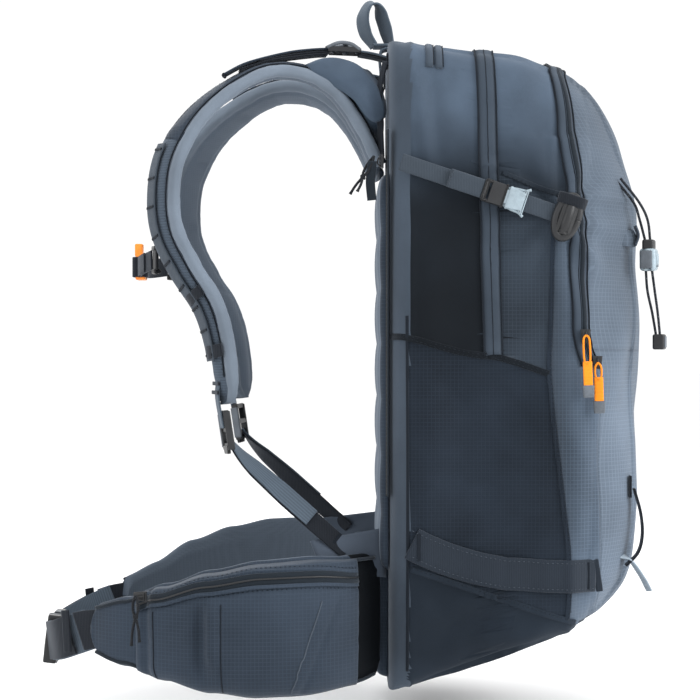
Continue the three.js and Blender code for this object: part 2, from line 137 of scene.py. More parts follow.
class Shader:
    """A Principled material with short calls for the nodes that the fabrics share."""

    def __init__(self, name, colour, roughness):
        self.mat = bpy.data.materials.new(name)
        self.mat.use_nodes = True
        self.tree = self.mat.node_tree
        self.surface = self.tree.nodes["Principled BSDF"]
        self.surface.inputs["Base Color"].default_value = (*colour, 1)
        self.surface.inputs["Roughness"].default_value = roughness
        self.surface.inputs["Specular IOR Level"].default_value = CLOTH_SPECULAR
        self.colour = colour
        self.where = self.node("ShaderNodeTexCoord").outputs["Object"]

    def node(self, kind, **values):
        made = self.tree.nodes.new(kind)
        for key, value in values.items():
            setattr(made, key, value)
        return made

    def link(self, output, socket):
        self.tree.links.new(output, socket)

    def maths(self, operation, a, b=None, clamp=False):
        made = self.node("ShaderNodeMath", operation=operation, use_clamp=clamp)
        for socket, value in zip(made.inputs, (a, b)):
            if value is None:
                continue
            if isinstance(value, (int, float)):
                socket.default_value = value
            else:
                self.link(value, socket)
        return made.outputs[0]

    def axes(self):
        split = self.node("ShaderNodeSeparateXYZ")
        self.link(self.where, split.inputs[0])
        return split.outputs

    def noise(self, scale, detail=3, stretch=(1, 1, 1), roughness=0.5):
        place = self.node("ShaderNodeMapping")
        place.inputs["Scale"].default_value = stretch
        self.link(self.where, place.inputs["Vector"])
        made = self.node("ShaderNodeTexNoise")
        made.inputs["Scale"].default_value = scale
        made.inputs["Detail"].default_value = detail
        made.inputs["Roughness"].default_value = roughness
        self.link(place.outputs[0], made.inputs["Vector"])
        return made.outputs["Fac"]

    def wave(self, value, pitch, sharp=1.0):
        """From 0 to 1, a ridge every pitch metres along a coordinate."""
        turns = self.maths("MULTIPLY", value, 2 * math.pi / pitch)
        ridge = self.maths("MULTIPLY_ADD", self.maths("SINE", turns), 0.5)
        self.tree.nodes[-1].inputs[2].default_value = 0.5
        return ridge if sharp == 1.0 else self.maths("POWER", ridge, sharp)

    def tint(self, factor, low, high, low_at=0.0, high_at=1.0):
        """Base colour between two shares of the plain colour."""
        ramp = self.node("ShaderNodeValToRGB")
        for stop, share, at in zip(ramp.color_ramp.elements, (low, high), (low_at, high_at)):
            stop.color = (*(min(1, c * share) for c in self.colour), 1)
            stop.position = at
        self.link(factor, ramp.inputs["Fac"])
        return ramp.outputs["Color"]

    def blend(self, factor, a, b):
        mix = self.node("ShaderNodeMix", data_type="RGBA")
        self.link(factor, mix.inputs["Factor"])
        self.link(a, mix.inputs[6])
        self.link(b, mix.inputs[7])
        return mix.outputs[2]

    def painted_light_and_shade(self, colour, place, axis, start, end, first, last):
        """The colour, made lighter or darker between two places along an axis: painted light and shade."""
        share = self.node("ShaderNodeMapRange", interpolation_type="SMOOTHSTEP")
        limits = {"From Min": start, "From Max": end, "To Min": first, "To Max": last}
        for socket, value in limits.items():
            share.inputs[socket].default_value = value
        self.link(place[axis], share.inputs["Value"])
        scaled = self.node("ShaderNodeVectorMath", operation="SCALE")
        self.link(colour, scaled.inputs[0])
        self.link(share.outputs[0], scaled.inputs["Scale"])
        return scaled.outputs[0]

    def paint(self, colour):
        self.link(colour, self.surface.inputs["Base Color"])

    def bump(self, heights, strength=0.4, distance=0.0004):
        made = self.node("ShaderNodeBump")
        made.inputs["Strength"].default_value = strength
        made.inputs["Distance"].default_value = distance
        self.link(heights, made.inputs["Height"])
        self.link(made.outputs[0], self.surface.inputs["Normal"])

    def rough(self, factor, low, high):
        ramp = self.node("ShaderNodeMapRange")
        ramp.inputs["To Min"].default_value = low
        ramp.inputs["To Max"].default_value = high
        self.link(factor, ramp.inputs["Value"])
        self.link(ramp.outputs[0], self.surface.inputs["Roughness"])

    def sheen(self, weight, roughness=0.5, tint=(0.8, 0.88, 1.0)):
        self.surface.inputs["Sheen Weight"].default_value = weight
        self.surface.inputs["Sheen Roughness"].default_value = roughness
        self.surface.inputs["Sheen Tint"].default_value = (*tint, 1)
        return self.mat


def plain(name, colour, roughness):
    return Shader(name, colour, roughness).mat


def yarn(name, colour):
    """Sewing thread: a fine twist, unevenly dyed."""
    s = Shader(name, colour, 0.65)
    place = s.axes()
    twist = s.wave(s.maths("ADD", place[1], place[2]), 0.0007)
    broad = s.noise(60, 2)
    s.paint(s.blend(broad, s.tint(twist, 0.7, 1.15), s.tint(twist, 0.85, 1.35)))
    s.bump(twist, 0.3, 0.0002)
    s.rough(broad, 0.58, 0.74)
    return s.sheen(0.05)


def woven(name, colour, pitch, grid=0.0, sheen=0.25, roughness=0.62, wear=0.25, axes=(1, 2), painted_light=None):
    """Plain weave of a yarn pitch, with raised ripstop threads every grid metres.

    The last argument gives painted light and shade: an axis, two places on it, and how light the colour is
    painted at each.
    """
    s = Shader(name, colour, roughness)
    place = s.axes()
    along, up = place[axes[0]], place[axes[1]]
    weave = s.maths("MULTIPLY", s.wave(along, pitch), s.wave(up, pitch))
    broad = s.noise(9, 4)
    fine = s.noise(420, 2)
    base = s.tint(broad, 1 - wear, 1 + wear, 0.37, 0.63)
    threads = s.tint(weave, 0.8, 1.3)
    shade = s.blend(s.maths("MULTIPLY", fine, 0.55), base, threads)
    height = s.maths("ADD", weave, s.maths("MULTIPLY", fine, 0.5))
    if grid:
        lines = s.maths("MAXIMUM", s.wave(along, grid, 22), s.wave(up, grid, 22))
        light = s.tint(broad, 1.55, 2.0)
        shade = s.blend(s.maths("MULTIPLY", lines, 0.5), shade, light)
        height = s.maths("ADD", height, s.maths("MULTIPLY", lines, 1.6))
    # Painted light and shade, where a cloth has it: the colour scaled lighter or darker along an axis.
    s.paint(s.painted_light_and_shade(shade, place, *painted_light) if painted_light else shade)
    s.bump(height, 0.35, 0.00025)
    s.rough(broad, roughness - 0.06, roughness + 0.12)
    return s.sheen(sheen)


def webbing_cloth(name, colour, pitch=0.0016, ribs_along=1, sheen=0.15):
    """Flat webbing: ribs across one axis with a finer twill between them."""
    s = Shader(name, colour, 0.7)
    place = s.axes()
    ribs = s.wave(place[ribs_along], pitch)
    twill = s.wave(s.maths("ADD", place[1], place[2]), pitch * 0.7)
    both = s.maths("MULTIPLY", s.maths("ADD", ribs, twill), 0.5)
    broad = s.noise(40, 3)
    s.paint(s.blend(broad, s.tint(both, 0.62, 1.25), s.tint(both, 0.8, 1.5)))
    s.bump(both, 0.55, 0.0004)
    s.rough(broad, 0.6, 0.82)
    return s.sheen(sheen)


def mesh_cloth(name, colour, pitch=0.0017):
    """Knitted spacer cloth with small round openings."""
    s = Shader(name, colour, 0.8)
    cells = s.node("ShaderNodeTexVoronoi")
    cells.inputs["Scale"].default_value = 1 / pitch
    cells.inputs["Randomness"].default_value = 0.15
    s.link(s.where, cells.inputs["Vector"])
    hole = s.maths("MULTIPLY", cells.outputs["Distance"], 1.7, clamp=True)
    broad = s.noise(14, 3)
    s.paint(s.blend(broad, s.tint(hole, 0.80, 1.04), s.tint(hole, 0.92, 1.16)))
    s.bump(hole, 0.3, 0.0003)
    s.rough(broad, 0.72, 0.9)
    return s.sheen(0.1)


def moulded(name, colour, roughness=0.42, coat=0.0):
    """Moulded plastic with a fine spark-eroded grain and slightly lighter scuffs."""
    s = Shader(name, colour, roughness)
    grain = s.noise(1600, 2)
    scuff = s.noise(70, 5, roughness=0.7)
    s.paint(s.tint(scuff, 0.85, 1.5, 0.35, 0.85))
    s.bump(grain, 0.12, 0.0001)
    s.rough(scuff, roughness - 0.08, roughness + 0.16)
    s.surface.inputs["Specular IOR Level"].default_value = PLASTIC_SPECULAR
    s.surface.inputs["Coat Weight"].default_value = coat
    return s.mat


def braided(name, colour, fleck, pitch=0.0016):
    """Braided cord: crossing diagonal strands with a lighter fleck."""
    s = Shader(name, colour, 0.75)
    place = s.axes()
    lean = s.maths("ADD", place[0], place[1])
    one = s.wave(s.maths("ADD", place[2], lean), pitch)
    two = s.wave(s.maths("SUBTRACT", place[2], lean), pitch)
    both = s.maths("MAXIMUM", one, two)
    spots = s.maths("GREATER_THAN", s.noise(900, 1), 0.66)
    light = s.node("ShaderNodeRGB")
    light.outputs[0].default_value = (*fleck, 1)
    s.paint(s.blend(s.maths("MULTIPLY", spots, 0.6), s.tint(both, 0.6, 1.5), light.outputs[0]))
    s.bump(both, 0.6, 0.0004)
    return s.sheen(0.05)


SLATE = (0.011, 0.016, 0.024)
UPPER = (0.022, 0.031, 0.044)
LOWER = (0.027, 0.037, 0.051)
FRONT = (0.078, 0.100, 0.130)
BAND = (0.046, 0.061, 0.082)
PAD = (0.095, 0.118, 0.150)
RIM = (0.130, 0.158, 0.195)
BLACK = (0.012, 0.013, 0.015)
SILVER = (0.24, 0.30, 0.34)
ORANGE = (0.90, 0.24, 0.02)

# Painted light and shade on three cloths: the axis, two places along it, and how light the colour is painted
# at each.
UPPER_PAINTED_LIGHT = (2, 0.12, 0.245, 0.24, 2.9)
SIDE_PAINTED_LIGHT = (1, -0.148, -0.188, 0.76, 2.1)
FRONT_PAINTED_LIGHT = (2, 0.24, -0.12, 0.72, 1.15)

M = {
    "ripstop": woven("ripstop", SLATE, 0.0008, grid=0.0034, sheen=0.08, wear=0.4),
    "upper": woven("upper_cloth", UPPER, 0.0009, sheen=0.12, roughness=0.66, wear=0.35, painted_light=UPPER_PAINTED_LIGHT),
    "side": woven("side_cloth", LOWER, 0.0009, grid=0.0034, sheen=0.12, wear=0.35, painted_light=SIDE_PAINTED_LIGHT),
    "front": woven("front_cloth", FRONT, 0.0009, grid=0.0036, sheen=0.12, axes=(0, 2), painted_light=FRONT_PAINTED_LIGHT),
    "bottom": woven("bottom_cloth", (0.013, 0.019, 0.028), 0.0007, sheen=0.07, roughness=0.7, wear=0.3),
    "band": woven("edge_band", BAND, 0.0011, sheen=0.14, roughness=0.7),
    "pad": mesh_cloth("pad_cloth", PAD),
    "rim": woven("rim_cloth", RIM, 0.0009, sheen=0.17, roughness=0.75),
    "cover": webbing_cloth("strap_cover", (0.050, 0.066, 0.088), 0.0024, 2),
    "belt": woven("belt_cloth", (0.023, 0.032, 0.046), 0.0008, grid=0.0034, sheen=0.09),
    "belt_inside": mesh_cloth("belt_lining", (0.062, 0.078, 0.100)),
    "webbing": webbing_cloth("side_webbing", (0.036, 0.046, 0.059), 0.0014, 1),
    "ski": webbing_cloth("ski_webbing", (0.015, 0.020, 0.028), 0.0016, 1),
    "black_webbing": webbing_cloth("black_webbing", (0.010, 0.012, 0.016), 0.0015, 1),
    "hip_webbing": webbing_cloth("hip_webbing", (0.064, 0.084, 0.108), 0.0018, 0),
    "light_webbing": webbing_cloth("light_webbing", (0.26, 0.31, 0.36), 0.0014, 0),
    # Near-black cloth: painted shade where the hip wing's outer face meets the bag.
    "deep": woven("painted_shade_cloth", (0.0035, 0.0045, 0.006), 0.0009, sheen=0.01),
    "zip": webbing_cloth("zip_tape", (0.010, 0.014, 0.019), 0.0011, 2),
    "welt": woven("zip_welt", (0.036, 0.048, 0.065), 0.0008, sheen=0.12),
    "thread": yarn("thread", (0.052, 0.065, 0.083)),
    "dark_thread": yarn("dark_thread", (0.009, 0.012, 0.017)),
    "gusset": woven("gusset_cloth", (0.050, 0.063, 0.084), 0.0009, sheen=0.10),
    "plastic": moulded("black_plastic", BLACK, 0.38),
    "silver": moulded("grey_plastic", SILVER, 0.34, coat=0.15),
    "cap": moulded("grey_cap", (0.085, 0.098, 0.115), 0.5),
    "orange": webbing_cloth("orange_strip", ORANGE, 0.0012, 2, sheen=0.02),
    "orange_plastic": moulded("orange_plastic", ORANGE, 0.4, coat=0.1),
    "cord": braided("black_cord", BLACK, (0.05, 0.055, 0.06)),
    "lash": braided("lash_cord", (0.014, 0.016, 0.02), (0.20, 0.22, 0.25)),
}

# ---- mesh helpers -------------------------------------------------------------------------------

SPLINE_STEPS = 24


def lerp(a, b, t):
    return a + (b - a) * t


def smooth_step(t, low=0.0, high=1.0):
    t = min(1, max(0, (t - low) / (high - low)))
    return t * t * (3 - 2 * t)


def power(value, exponent):
    """A power that keeps the value's sign."""
    return math.copysign(abs(value) ** exponent, value)


def at(x, y, z):
    return Matrix.Translation((x, y, z))


def centre(node):
    """The middle of a CAD node's box."""
    low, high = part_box(node)
    return (Vector(low) + Vector(high)) / 2


def as_object(name, verts, faces, materials, indices=None):
    mesh = bpy.data.meshes.new(name)
    mesh.from_pydata([tuple(p) for p in verts], [], faces)
    for material in materials:
        mesh.materials.append(M[material])
    if indices:
        mesh.polygons.foreach_set("material_index", indices)
    mesh.polygons.foreach_set("use_smooth", [True] * len(mesh.polygons))
    mesh.update()
    made = bpy.data.objects.new(name, mesh)
    bpy.context.scene.collection.objects.link(made)
    return made


def between(a, b, c, d, t):
    """A place between b and c on the smooth curve through four points or numbers."""
    square, cube = 2 * a - 5 * b + 4 * c - d, 3 * b - a - 3 * c + d
    return 0.5 * (2 * b + (c - a) * t + square * t * t + cube * t**3)


def spline(points, count):
    """Points evenly spaced along a smooth curve through the given points."""
    points = [Vector(p) for p in points]
    if len(points) == 2:
        return [points[0].lerp(points[1], i / (count - 1)) for i in range(count)]
    ends = [2 * points[0] - points[1], *points, 2 * points[-1] - points[-2]]
    fine = []
    for i in range(len(points) - 1):
        fine += [between(*ends[i : i + 4], k / SPLINE_STEPS) for k in range(SPLINE_STEPS)]
    fine.append(points[-1])
    lengths = [0.0]
    for a, b in zip(fine, fine[1:]):
        lengths.append(lengths[-1] + (b - a).length)
    made, k = [], 0
    for i in range(count):
        want = lengths[-1] * i / (count - 1)
        while k < len(lengths) - 2 and lengths[k + 1] < want:
            k += 1
        span = lengths[k + 1] - lengths[k]
        made.append(fine[k].lerp(fine[k + 1], (want - lengths[k]) / span if span else 0))
    return made


def tangents(points):
    last = len(points) - 1
    return [(points[min(i + 1, last)] - points[max(i - 1, 0)]).normalized() for i in range(len(points))]


def closed_loft(name, rings, materials, pick=None):
    """A closed body through rings; pick(ring, corner) gives a face's material number."""
    count = len(rings[0])
    verts = [p for ring in rings for p in ring]
    faces, indices = [], []
    for r in range(len(rings) - 1):
        for i in range(count):
            a, b = r * count + i, r * count + (i + 1) % count
            faces.append((a, b, b + count, a + count))
            indices.append(pick(r, i) if pick else 0)
    faces.append(tuple(reversed(range(count))))
    faces.append(tuple(range(len(verts) - count, len(verts))))
    indices += [0, 0]
    made = as_object(name, verts, faces, materials, indices)
    fix_normals(made)
    return made


def fix_normals(piece):
    work = bmesh.new()
    work.from_mesh(piece.data)
    bmesh.ops.recalc_face_normals(work, faces=work.faces)
    work.to_mesh(piece.data)
    work.free()


def flat_section(width, thick, corners=4, crown=0.0):
    """Points round a flat strip's section with round edges, in its width and thickness."""
    w, h = width / 2, thick / 2
    points = []
    for side in (1, -1):
        for i in range(corners + 1):
            angle = (-0.5 + i / corners) * math.pi
            points.append((side * (w - h + h * math.cos(angle)), side * h * math.sin(angle)))
        for share in (0.5, 0.0, -0.5):
            x = side * share * (w - h)
            points.append((x, side * h + (crown * (1 - (2 * share) ** 2 / 2) if side > 0 else 0)))
    return points


def frames(route, across, count):
    """Share, point, side and up at even steps of a route. across is a direction, or a list of them."""
    points = spline(route, count)
    ways = across if isinstance(across, list) else [across, across]
    made = []
    for i, (point, tangent) in enumerate(zip(points, tangents(points))):
        t = i / (count - 1)
        k = t * (len(ways) - 1)
        low = min(int(k), len(ways) - 2)
        side = Vector(ways[low]).lerp(Vector(ways[low + 1]), k - low)
        side = (side - tangent * side.dot(tangent)).normalized()
        made.append((t, point, side, tangent.cross(side)))
    return made


def strip(name, route, across, width, thick, material, count=48, crown=0.0):
    """Flat webbing along a route, as wide and thick as a number or a function of the share says."""
    rings = []
    for t, point, side, up in frames(route, across, count):
        w = width(t) if callable(width) else width
        h = thick(t) if callable(thick) else thick
        rings.append([point + side * a + up * b for a, b in flat_section(w, h, crown=crown)])
    return closed_loft(name, rings, [material])


def tube(name, route, radius, material, sides=12, count=40):
    points = spline(route, count) if count else [Vector(p) for p in route]
    ways = tangents(points)
    side = ways[0].orthogonal().normalized()
    rings = []
    for i, (point, tangent) in enumerate(zip(points, ways)):
        side = (side - tangent * side.dot(tangent)).normalized()
        up = tangent.cross(side)
        r = radius(i / (len(points) - 1)) if callable(radius) else radius
        turn = [2 * math.pi * k / sides for k in range(sides)]
        rings.append([point + side * r * math.cos(a) + up * r * math.sin(a) for a in turn])
    return closed_loft(name, rings, [material])


def basis(origin, along, out):
    """A matrix whose X runs along, and whose Z faces out."""
    x = Vector(along).normalized()
    y = Vector(out).cross(x).normalized()
    z = x.cross(y)
    return Matrix.Translation(Vector(origin)) @ Matrix((x, y, z)).transposed().to_4x4()


def block(name, size, material, matrix=None, bevel=0.001, segments=3, taper=1.0, dome=0.0):
    """A moulded block: bevelled, and optionally narrower at +X or domed on its outer face."""
    work = bmesh.new()
    bmesh.ops.create_cube(work, size=1)
    bmesh.ops.subdivide_edges(work, edges=list(work.edges), cuts=3, use_grid_fill=True)
    for vert in work.verts:
        x, y, z = vert.co
        swell = dome * (1 - 4 * x * x) * (1 - 4 * y * y) if z > 0.49 else 0
        narrow = lerp(1, taper, x + 0.5)
        vert.co = (x * size[0], y * size[1] * narrow, z * size[2] + swell)
    sharp = [e for e in work.edges if len(e.link_faces) == 2 and e.calc_face_angle() > 0.7]
    bmesh.ops.bevel(work, geom=sharp, offset=bevel, segments=segments, affect="EDGES", profile=0.6)
    if matrix:
        bmesh.ops.transform(work, matrix=matrix, verts=work.verts)
    mesh = bpy.data.meshes.new(name)
    work.to_mesh(mesh)
    work.free()
    mesh.materials.append(M[material])
    mesh.polygons.foreach_set("use_smooth", [True] * len(mesh.polygons))
    made = bpy.data.objects.new(name, mesh)
    bpy.context.scene.collection.objects.link(made)
    return made


def joined(name, pieces):
    """One object from several, which keeps each one's materials."""
    work = bmesh.new()
    materials = []
    for piece in pieces:
        start = len(work.faces)
        work.from_mesh(piece.data)
        work.faces.ensure_lookup_table()
        for face in work.faces[start:]:
            material = piece.data.materials[face.material_index]
            if material not in materials:
                materials.append(material)
            face.material_index = materials.index(material)
            face.smooth = True
    mesh = bpy.data.meshes.new(name)
    work.to_mesh(mesh)
    work.free()
    for material in materials:
        mesh.materials.append(material)
    for piece in pieces:
        bpy.data.objects.remove(piece)
    made = bpy.data.objects.new(name, mesh)
    bpy.context.scene.collection.objects.link(made)
    return made


def stitches(points, out, material="thread", pitch=0.0042, length=0.0028, radius=0.00035):
    """A row of raised stitches along a route; out is a direction or one for each point."""
    route = [Vector(p) for p in points]
    total = sum((b - a).length for a, b in zip(route, route[1:]))
    count = max(2, int(total / pitch))
    places = spline(route, count + 1)
    ways = [Vector(w) for w in (out if isinstance(out, list) else [out])]
    verts, faces = [], []
    for i in range(count):
        a, b = places[i], places[i].lerp(places[i + 1], length / pitch)
        way = ways[min(len(ways) - 1, int(i / count * len(ways)))]
        side = (b - a).cross(way).normalized() * radius
        lift = way.normalized() * radius
        mid = (a + b) / 2 + lift * 1.6
        k = len(verts)
        verts += [a - lift, mid - side, mid + lift * 0.6, mid + side, b - lift]
        faces += [(k, k + 1, k + 2), (k, k + 2, k + 3), (k + 4, k + 2, k + 1), (k + 4, k + 3, k + 2)]
        faces += [(k, k + 3, k + 1), (k + 4, k + 1, k + 3)]
    made = as_object("stitches", verts, faces, [material])
    fix_normals(made)
    return made


def finish_piece(piece, body, slot, *nodes, padded=None):
    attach(piece, body)
    if nodes:
        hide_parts(*nodes)
    return piece


# ---- bag shape ----------------------------------------------------------------------------------

BAG_BACK = -0.010
# Each level: height at the back, height at the front, depth of the front, half width.
LEVELS = [
    (-0.307, -0.252, -0.186, 0.118),
    (-0.299, -0.243, -0.203, 0.129),
    (-0.280, -0.224, -0.222, 0.137),
    (-0.245, -0.197, -0.235, 0.143),
    (-0.180, -0.150, -0.242, 0.147),
    (-0.100, -0.090, -0.245, 0.150),
    (0.0, 0.0, -0.245, 0.150),
    (0.100, 0.096, -0.242, 0.147),
    (0.160, 0.146, -0.238, 0.143),
    (0.205, 0.180, -0.231, 0.139),
    (0.240, 0.208, -0.220, 0.134),
    (0.262, 0.230, -0.207, 0.128),
    (0.274, 0.247, -0.192, 0.119),
    (0.280, 0.258, -0.172, 0.104),
]
SQUARE = 0.2  # how square the back's corners are: 1 is round, and 0 is a sharp corner
CROWN_WIDE, CROWN_DEEP = 2.2, 2.6  # exponents of the rounded front, across and ahead
# The front zip seen from the side, as depth and height.
FRONT_LINE = [
    (-0.198, -0.330), (-0.198, -0.030), (-0.188, 0.020), (-0.186, 0.090), (-0.181, 0.150),
    (-0.176, 0.200), (-0.166, 0.300),
]


def along_line(line, z):
    """Depth of a side line at a height."""
    for (y0, z0), (y1, z1) in zip(line, line[1:]):
        if z <= z1:
            return lerp(y0, y1, smooth_step(max(0, (z - z0) / (z1 - z0))))
    return line[-1][0]


def level_at(t):
    """The level's four numbers at a real index, by a smooth curve through the levels."""
    t = min(max(t, 0), len(LEVELS) - 1.0001)
    i = int(t)
    rows = [LEVELS[min(max(k, 0), len(LEVELS) - 1)] for k in (i - 1, i, i + 1, i + 2)]
    return [between(*column, t - i) for column in zip(*rows)]


def bag_point(t, angle):
    """On the bag, at a level and an angle round it; past the last level it closes over the top."""
    cap = max(0.0, t - (len(LEVELS) - 1)) + max(0.0, -t)
    z_back, z_front, front, half = level_at(t)
    wide, deep = (SQUARE, SQUARE) if math.sin(angle) < 0 else (2 / CROWN_WIDE, 2 / CROWN_DEEP)
    shrink = 1 - cap
    x = half * power(math.cos(angle), wide) * shrink
    middle = (BAG_BACK + front) / 2
    y = middle - (BAG_BACK - front) / 2 * power(math.sin(angle), deep) * shrink
    share = (BAG_BACK - y) / (BAG_BACK - front)
    dome = 0.005 * (1 - shrink**2)
    z = lerp(z_back, z_front, share) + (dome if t > 1 else -dome)
    return Vector((x, y, z))


def side_at(y, z):
    """Half width of the bag at a depth and a height."""
    low, high = None, None
    for z_back, z_front, front, half in LEVELS:
        share = (BAG_BACK - y) / (BAG_BACK - front)
        row = (lerp(z_back, z_front, share), share, half)
        if row[0] <= z:
            low = row
        elif high is None:
            high = row
    low, high = low or high, high or low
    mix = (z - low[0]) / (high[0] - low[0]) if high[0] > low[0] else 0
    share, half = lerp(low[1], high[1], mix), lerp(low[2], high[2], mix)
    crown = min(1, max(0, 2 * share - 1)) ** CROWN_DEEP
    return half * (1 - crown) ** (1 / CROWN_WIDE)


# Seams on the bag's sides, as depth and height.
MID_SEAM = [
    (-0.012, 0.012), (-0.029, 0.010), (-0.074, -0.002), (-0.102, -0.006), (-0.118, -0.010),
    (-0.151, -0.021),
]
REAR_SEAM = [
    (-0.155, 0.180), (-0.1545, 0.110), (-0.152, 0.026), (-0.151, -0.029), (-0.162, -0.127),
    (-0.168, -0.179), (-0.169, -0.217), (-0.168, -0.240),
]
BOTTOM_SEAM = [(-0.012, -0.188), (-0.029, -0.193), (-0.100, -0.217), (-0.176, -0.243)]
HEM_SEAM = [(-0.101, 0.160), (-0.150, 0.140), (-0.178, 0.136)]
BACK_SEAM = [(-0.028, -0.300), (-0.028, 0.0), (-0.030, 0.250)]
REAR_DEPTH = -0.152  # where the middle seam ends, at the rear seam
POCKET_FOOT = -0.241  # below this height the front pocket is bottom cloth
STRAP_END = (-0.16, 0.118)
BAG_WALL = 0.0016
# The cloths that each bag piece is cut from.
BAG_CLOTHS = {
    "main_compartment": ["ripstop", "upper", "side", "bottom", "band"],
    "front_pocket": ["front", "bottom"],
    "front_flap": ["front"],
}


def height_on(line, y):
    """Height of a line of points with falling depth, at a depth."""
    for (y0, z0), (y1, z1) in zip(line, line[1:]):
        if y >= y1:
            return lerp(z0, z1, (y - y0) / (y1 - y0))
    return line[-1][1]


def depth_on(line, z):
    """Depth of a line of points, at a height, for a line that runs up or down."""
    rows = sorted(line, key=lambda p: p[1])
    for (y0, z0), (y1, z1) in zip(rows, rows[1:]):
        if z <= z1:
            return lerp(y0, y1, max(0, (z - z0) / (z1 - z0)))
    return rows[-1][0]


def ridge(distance, width):
    return math.exp(-((distance / width) ** 2))


def seam_distance(y, z):
    """How far a place on the side is from the nearest seam."""
    rear = depth_on(REAR_SEAM, z)
    seams = [abs(y - depth_on(BACK_SEAM, z))]
    if y > rear:
        seams.append(abs(z - height_on(MID_SEAM, y)))
    if -0.25 < z < 0.19:
        seams.append(abs(y - rear))
    if y > -0.178:
        seams.append(abs(z - height_on(BOTTOM_SEAM, y)))
    if rear < y < -0.101 or y < rear:
        seams.append(abs(z - height_on(HEM_SEAM, y)))
    return min(seams)


def panel_puff(y, z):
    """Side panels stand out between their seams, and the seams are drawn in."""
    near = seam_distance(y, z)
    out = 0.0022 * (1 - ridge(near, 0.03)) - 0.0020 * ridge(near, 0.0035)
    if y > depth_on(REAR_SEAM, z) and z < height_on(MID_SEAM, y):
        out += 0.0032 * (1 - ridge(near, 0.042))
    return out


def side_creases(y, z, folds):
    # a fan round the place where the compression strap pulls at the cloth
    ahead, up = y - STRAP_END[0], z - STRAP_END[1]
    out = 0.0022 * math.sin(math.atan2(up, ahead) * 9) * ridge(math.hypot(ahead, up) - 0.045, 0.03)
    # two soft upright creases beside the back edge, above the strap
    lean = y + 0.040 - 0.1 * (z - 0.2)
    above = smooth_step(0.06 - abs(z - 0.205), 0, 0.04)
    out += (0.0022 * ridge(lean + 0.012, 0.007) - 0.0030 * ridge(lean, 0.006)) * above
    # a long soft crease below the front zip
    out -= 0.0022 * ridge(y + 0.178 + 0.06 * (z + 0.1), 0.010) * smooth_step(-z, 0.02, 0.10)
    # wrinkles under the lower band, where the bottom sags
    low = height_on(BOTTOM_SEAM, y)
    if z < low:
        out += 0.0016 * math.sin((z + 0.4 * y) * 130 + 3 * folds) * ridge(z - low + 0.03, 0.03)
    return out


def cloth_move(p, side_share):
    """How far the cloth stands out from the plain shape: puffed panels, seams and soft folds."""
    x, y, z = p
    folds = noise.noise(Vector((x * 6 + 3, y * 34, z * 7)))
    out = 0.0026 * noise.noise(Vector((x * 5, y * 7, z * 5))) + 0.0019 * folds
    out += 0.0007 * noise.noise(Vector((x * 22, y * 26, z * 26 + 5)))
    if side_share > 0.3:
        out += panel_puff(y, z) + side_creases(y, z, folds)
    if y < -0.19:
        wander = 6 * noise.noise(Vector((x * 8, 0, z * 4)))
        out += 0.0018 * math.sin(z * 42 + wander) + 0.0016 * folds
    return out * side_weight(p)


def side_weight(p):
    """The flat back stays flat behind its panel."""
    return smooth_step(BAG_BACK - p[1], 0.002, 0.018)


def normal_at(t, angle):
    """The way out of the plain bag, from a small step each way."""
    low = max(t - 0.01, -0.999)
    up = bag_point(t + 0.01, angle) - bag_point(low, angle)
    round_it = bag_point(t, angle + 0.01) - bag_point(t, angle - 0.01)
    normal = round_it.cross(up)
    if normal.length < 1e-12:
        return Vector((0, 0, 1 if t > 1 else -1))
    return normal.normalized()


def crossing(t, y):
    """The angle on the right half where a level reaches a depth, or None where it is too shallow."""
    low, high = -math.pi / 2, math.pi / 2
    if bag_point(t, high - 1e-6).y > y:
        return None
    for _ in range(40):
        middle = (low + high) / 2
        if bag_point(t, middle).y > y:
            low = middle
        else:
            high = middle
    return low


def zip_angle(t):
    """Where the front compartment starts on a level. Near the foot it narrows to a thin band."""
    _, _, front, _ = level_at(t)
    z = level_at(t)[0]
    found = None
    for _ in range(3):
        depth = max(along_line(FRONT_LINE, z), front + 0.004)
        found = crossing(t, depth)
        z = bag_point(t, found).z
    return found


FRONT_STEPS, BACK_STEPS = 48, 96  # faces from the middle of the front or back to the front zip
TOP = len(LEVELS) - 1


def even_angles(t, start, end, count):
    """Angles between two on a level, so that their points are evenly spaced round the bag."""
    fine = [lerp(start, end, k / 160) for k in range(161)]
    points = [bag_point(t, angle) for angle in fine]
    lengths = [0.0]
    for a, b in zip(points, points[1:]):
        lengths.append(lengths[-1] + (b - a).length)
    made, k = [], 0
    for i in range(count):
        want = lengths[-1] * i / count
        while lengths[k + 1] < want:
            k += 1
        span = lengths[k + 1] - lengths[k]
        made.append(lerp(fine[k], fine[k + 1], (want - lengths[k]) / span if span else 0))
    return made


def ring_angles(t):
    """Angles round a level, from the middle of the front over the right side, back, and left side."""
    edge = zip_angle(min(max(t, 0), TOP))
    ahead = even_angles(t, math.pi / 2, edge, FRONT_STEPS)
    behind = even_angles(t, edge, -math.pi / 2, BACK_STEPS)
    right = [*ahead, *behind, -math.pi / 2]
    left = [math.pi - a for a in right[1:-1]]
    return right + left[::-1]


SNAP_SIDE, SNAP_REAR = 0.0019, 0.0014  # how close a point is to a seam before it moves onto it


def snapped(p):
    """A point close to a side seam, moved onto it, so that the cloths meet in a clean line."""
    if abs(p.x) > 0.07 and p.y < BAG_BACK - 0.004:
        for line, low, high in ((MID_SEAM, -0.03, 0.02), (BOTTOM_SEAM, -0.25, -0.18)):
            z = height_on(line, p.y)
            inside = low < z < high and p.y > (REAR_DEPTH if line is MID_SEAM else -0.19)
            if inside and abs(p.z - z) < SNAP_SIDE:
                return Vector((p.x, p.y, z))
        if p.z > -0.03 and abs(p.y - depth_on(REAR_SEAM, p.z)) < SNAP_REAR:
            return Vector((p.x, depth_on(REAR_SEAM, p.z), p.z))
    return p


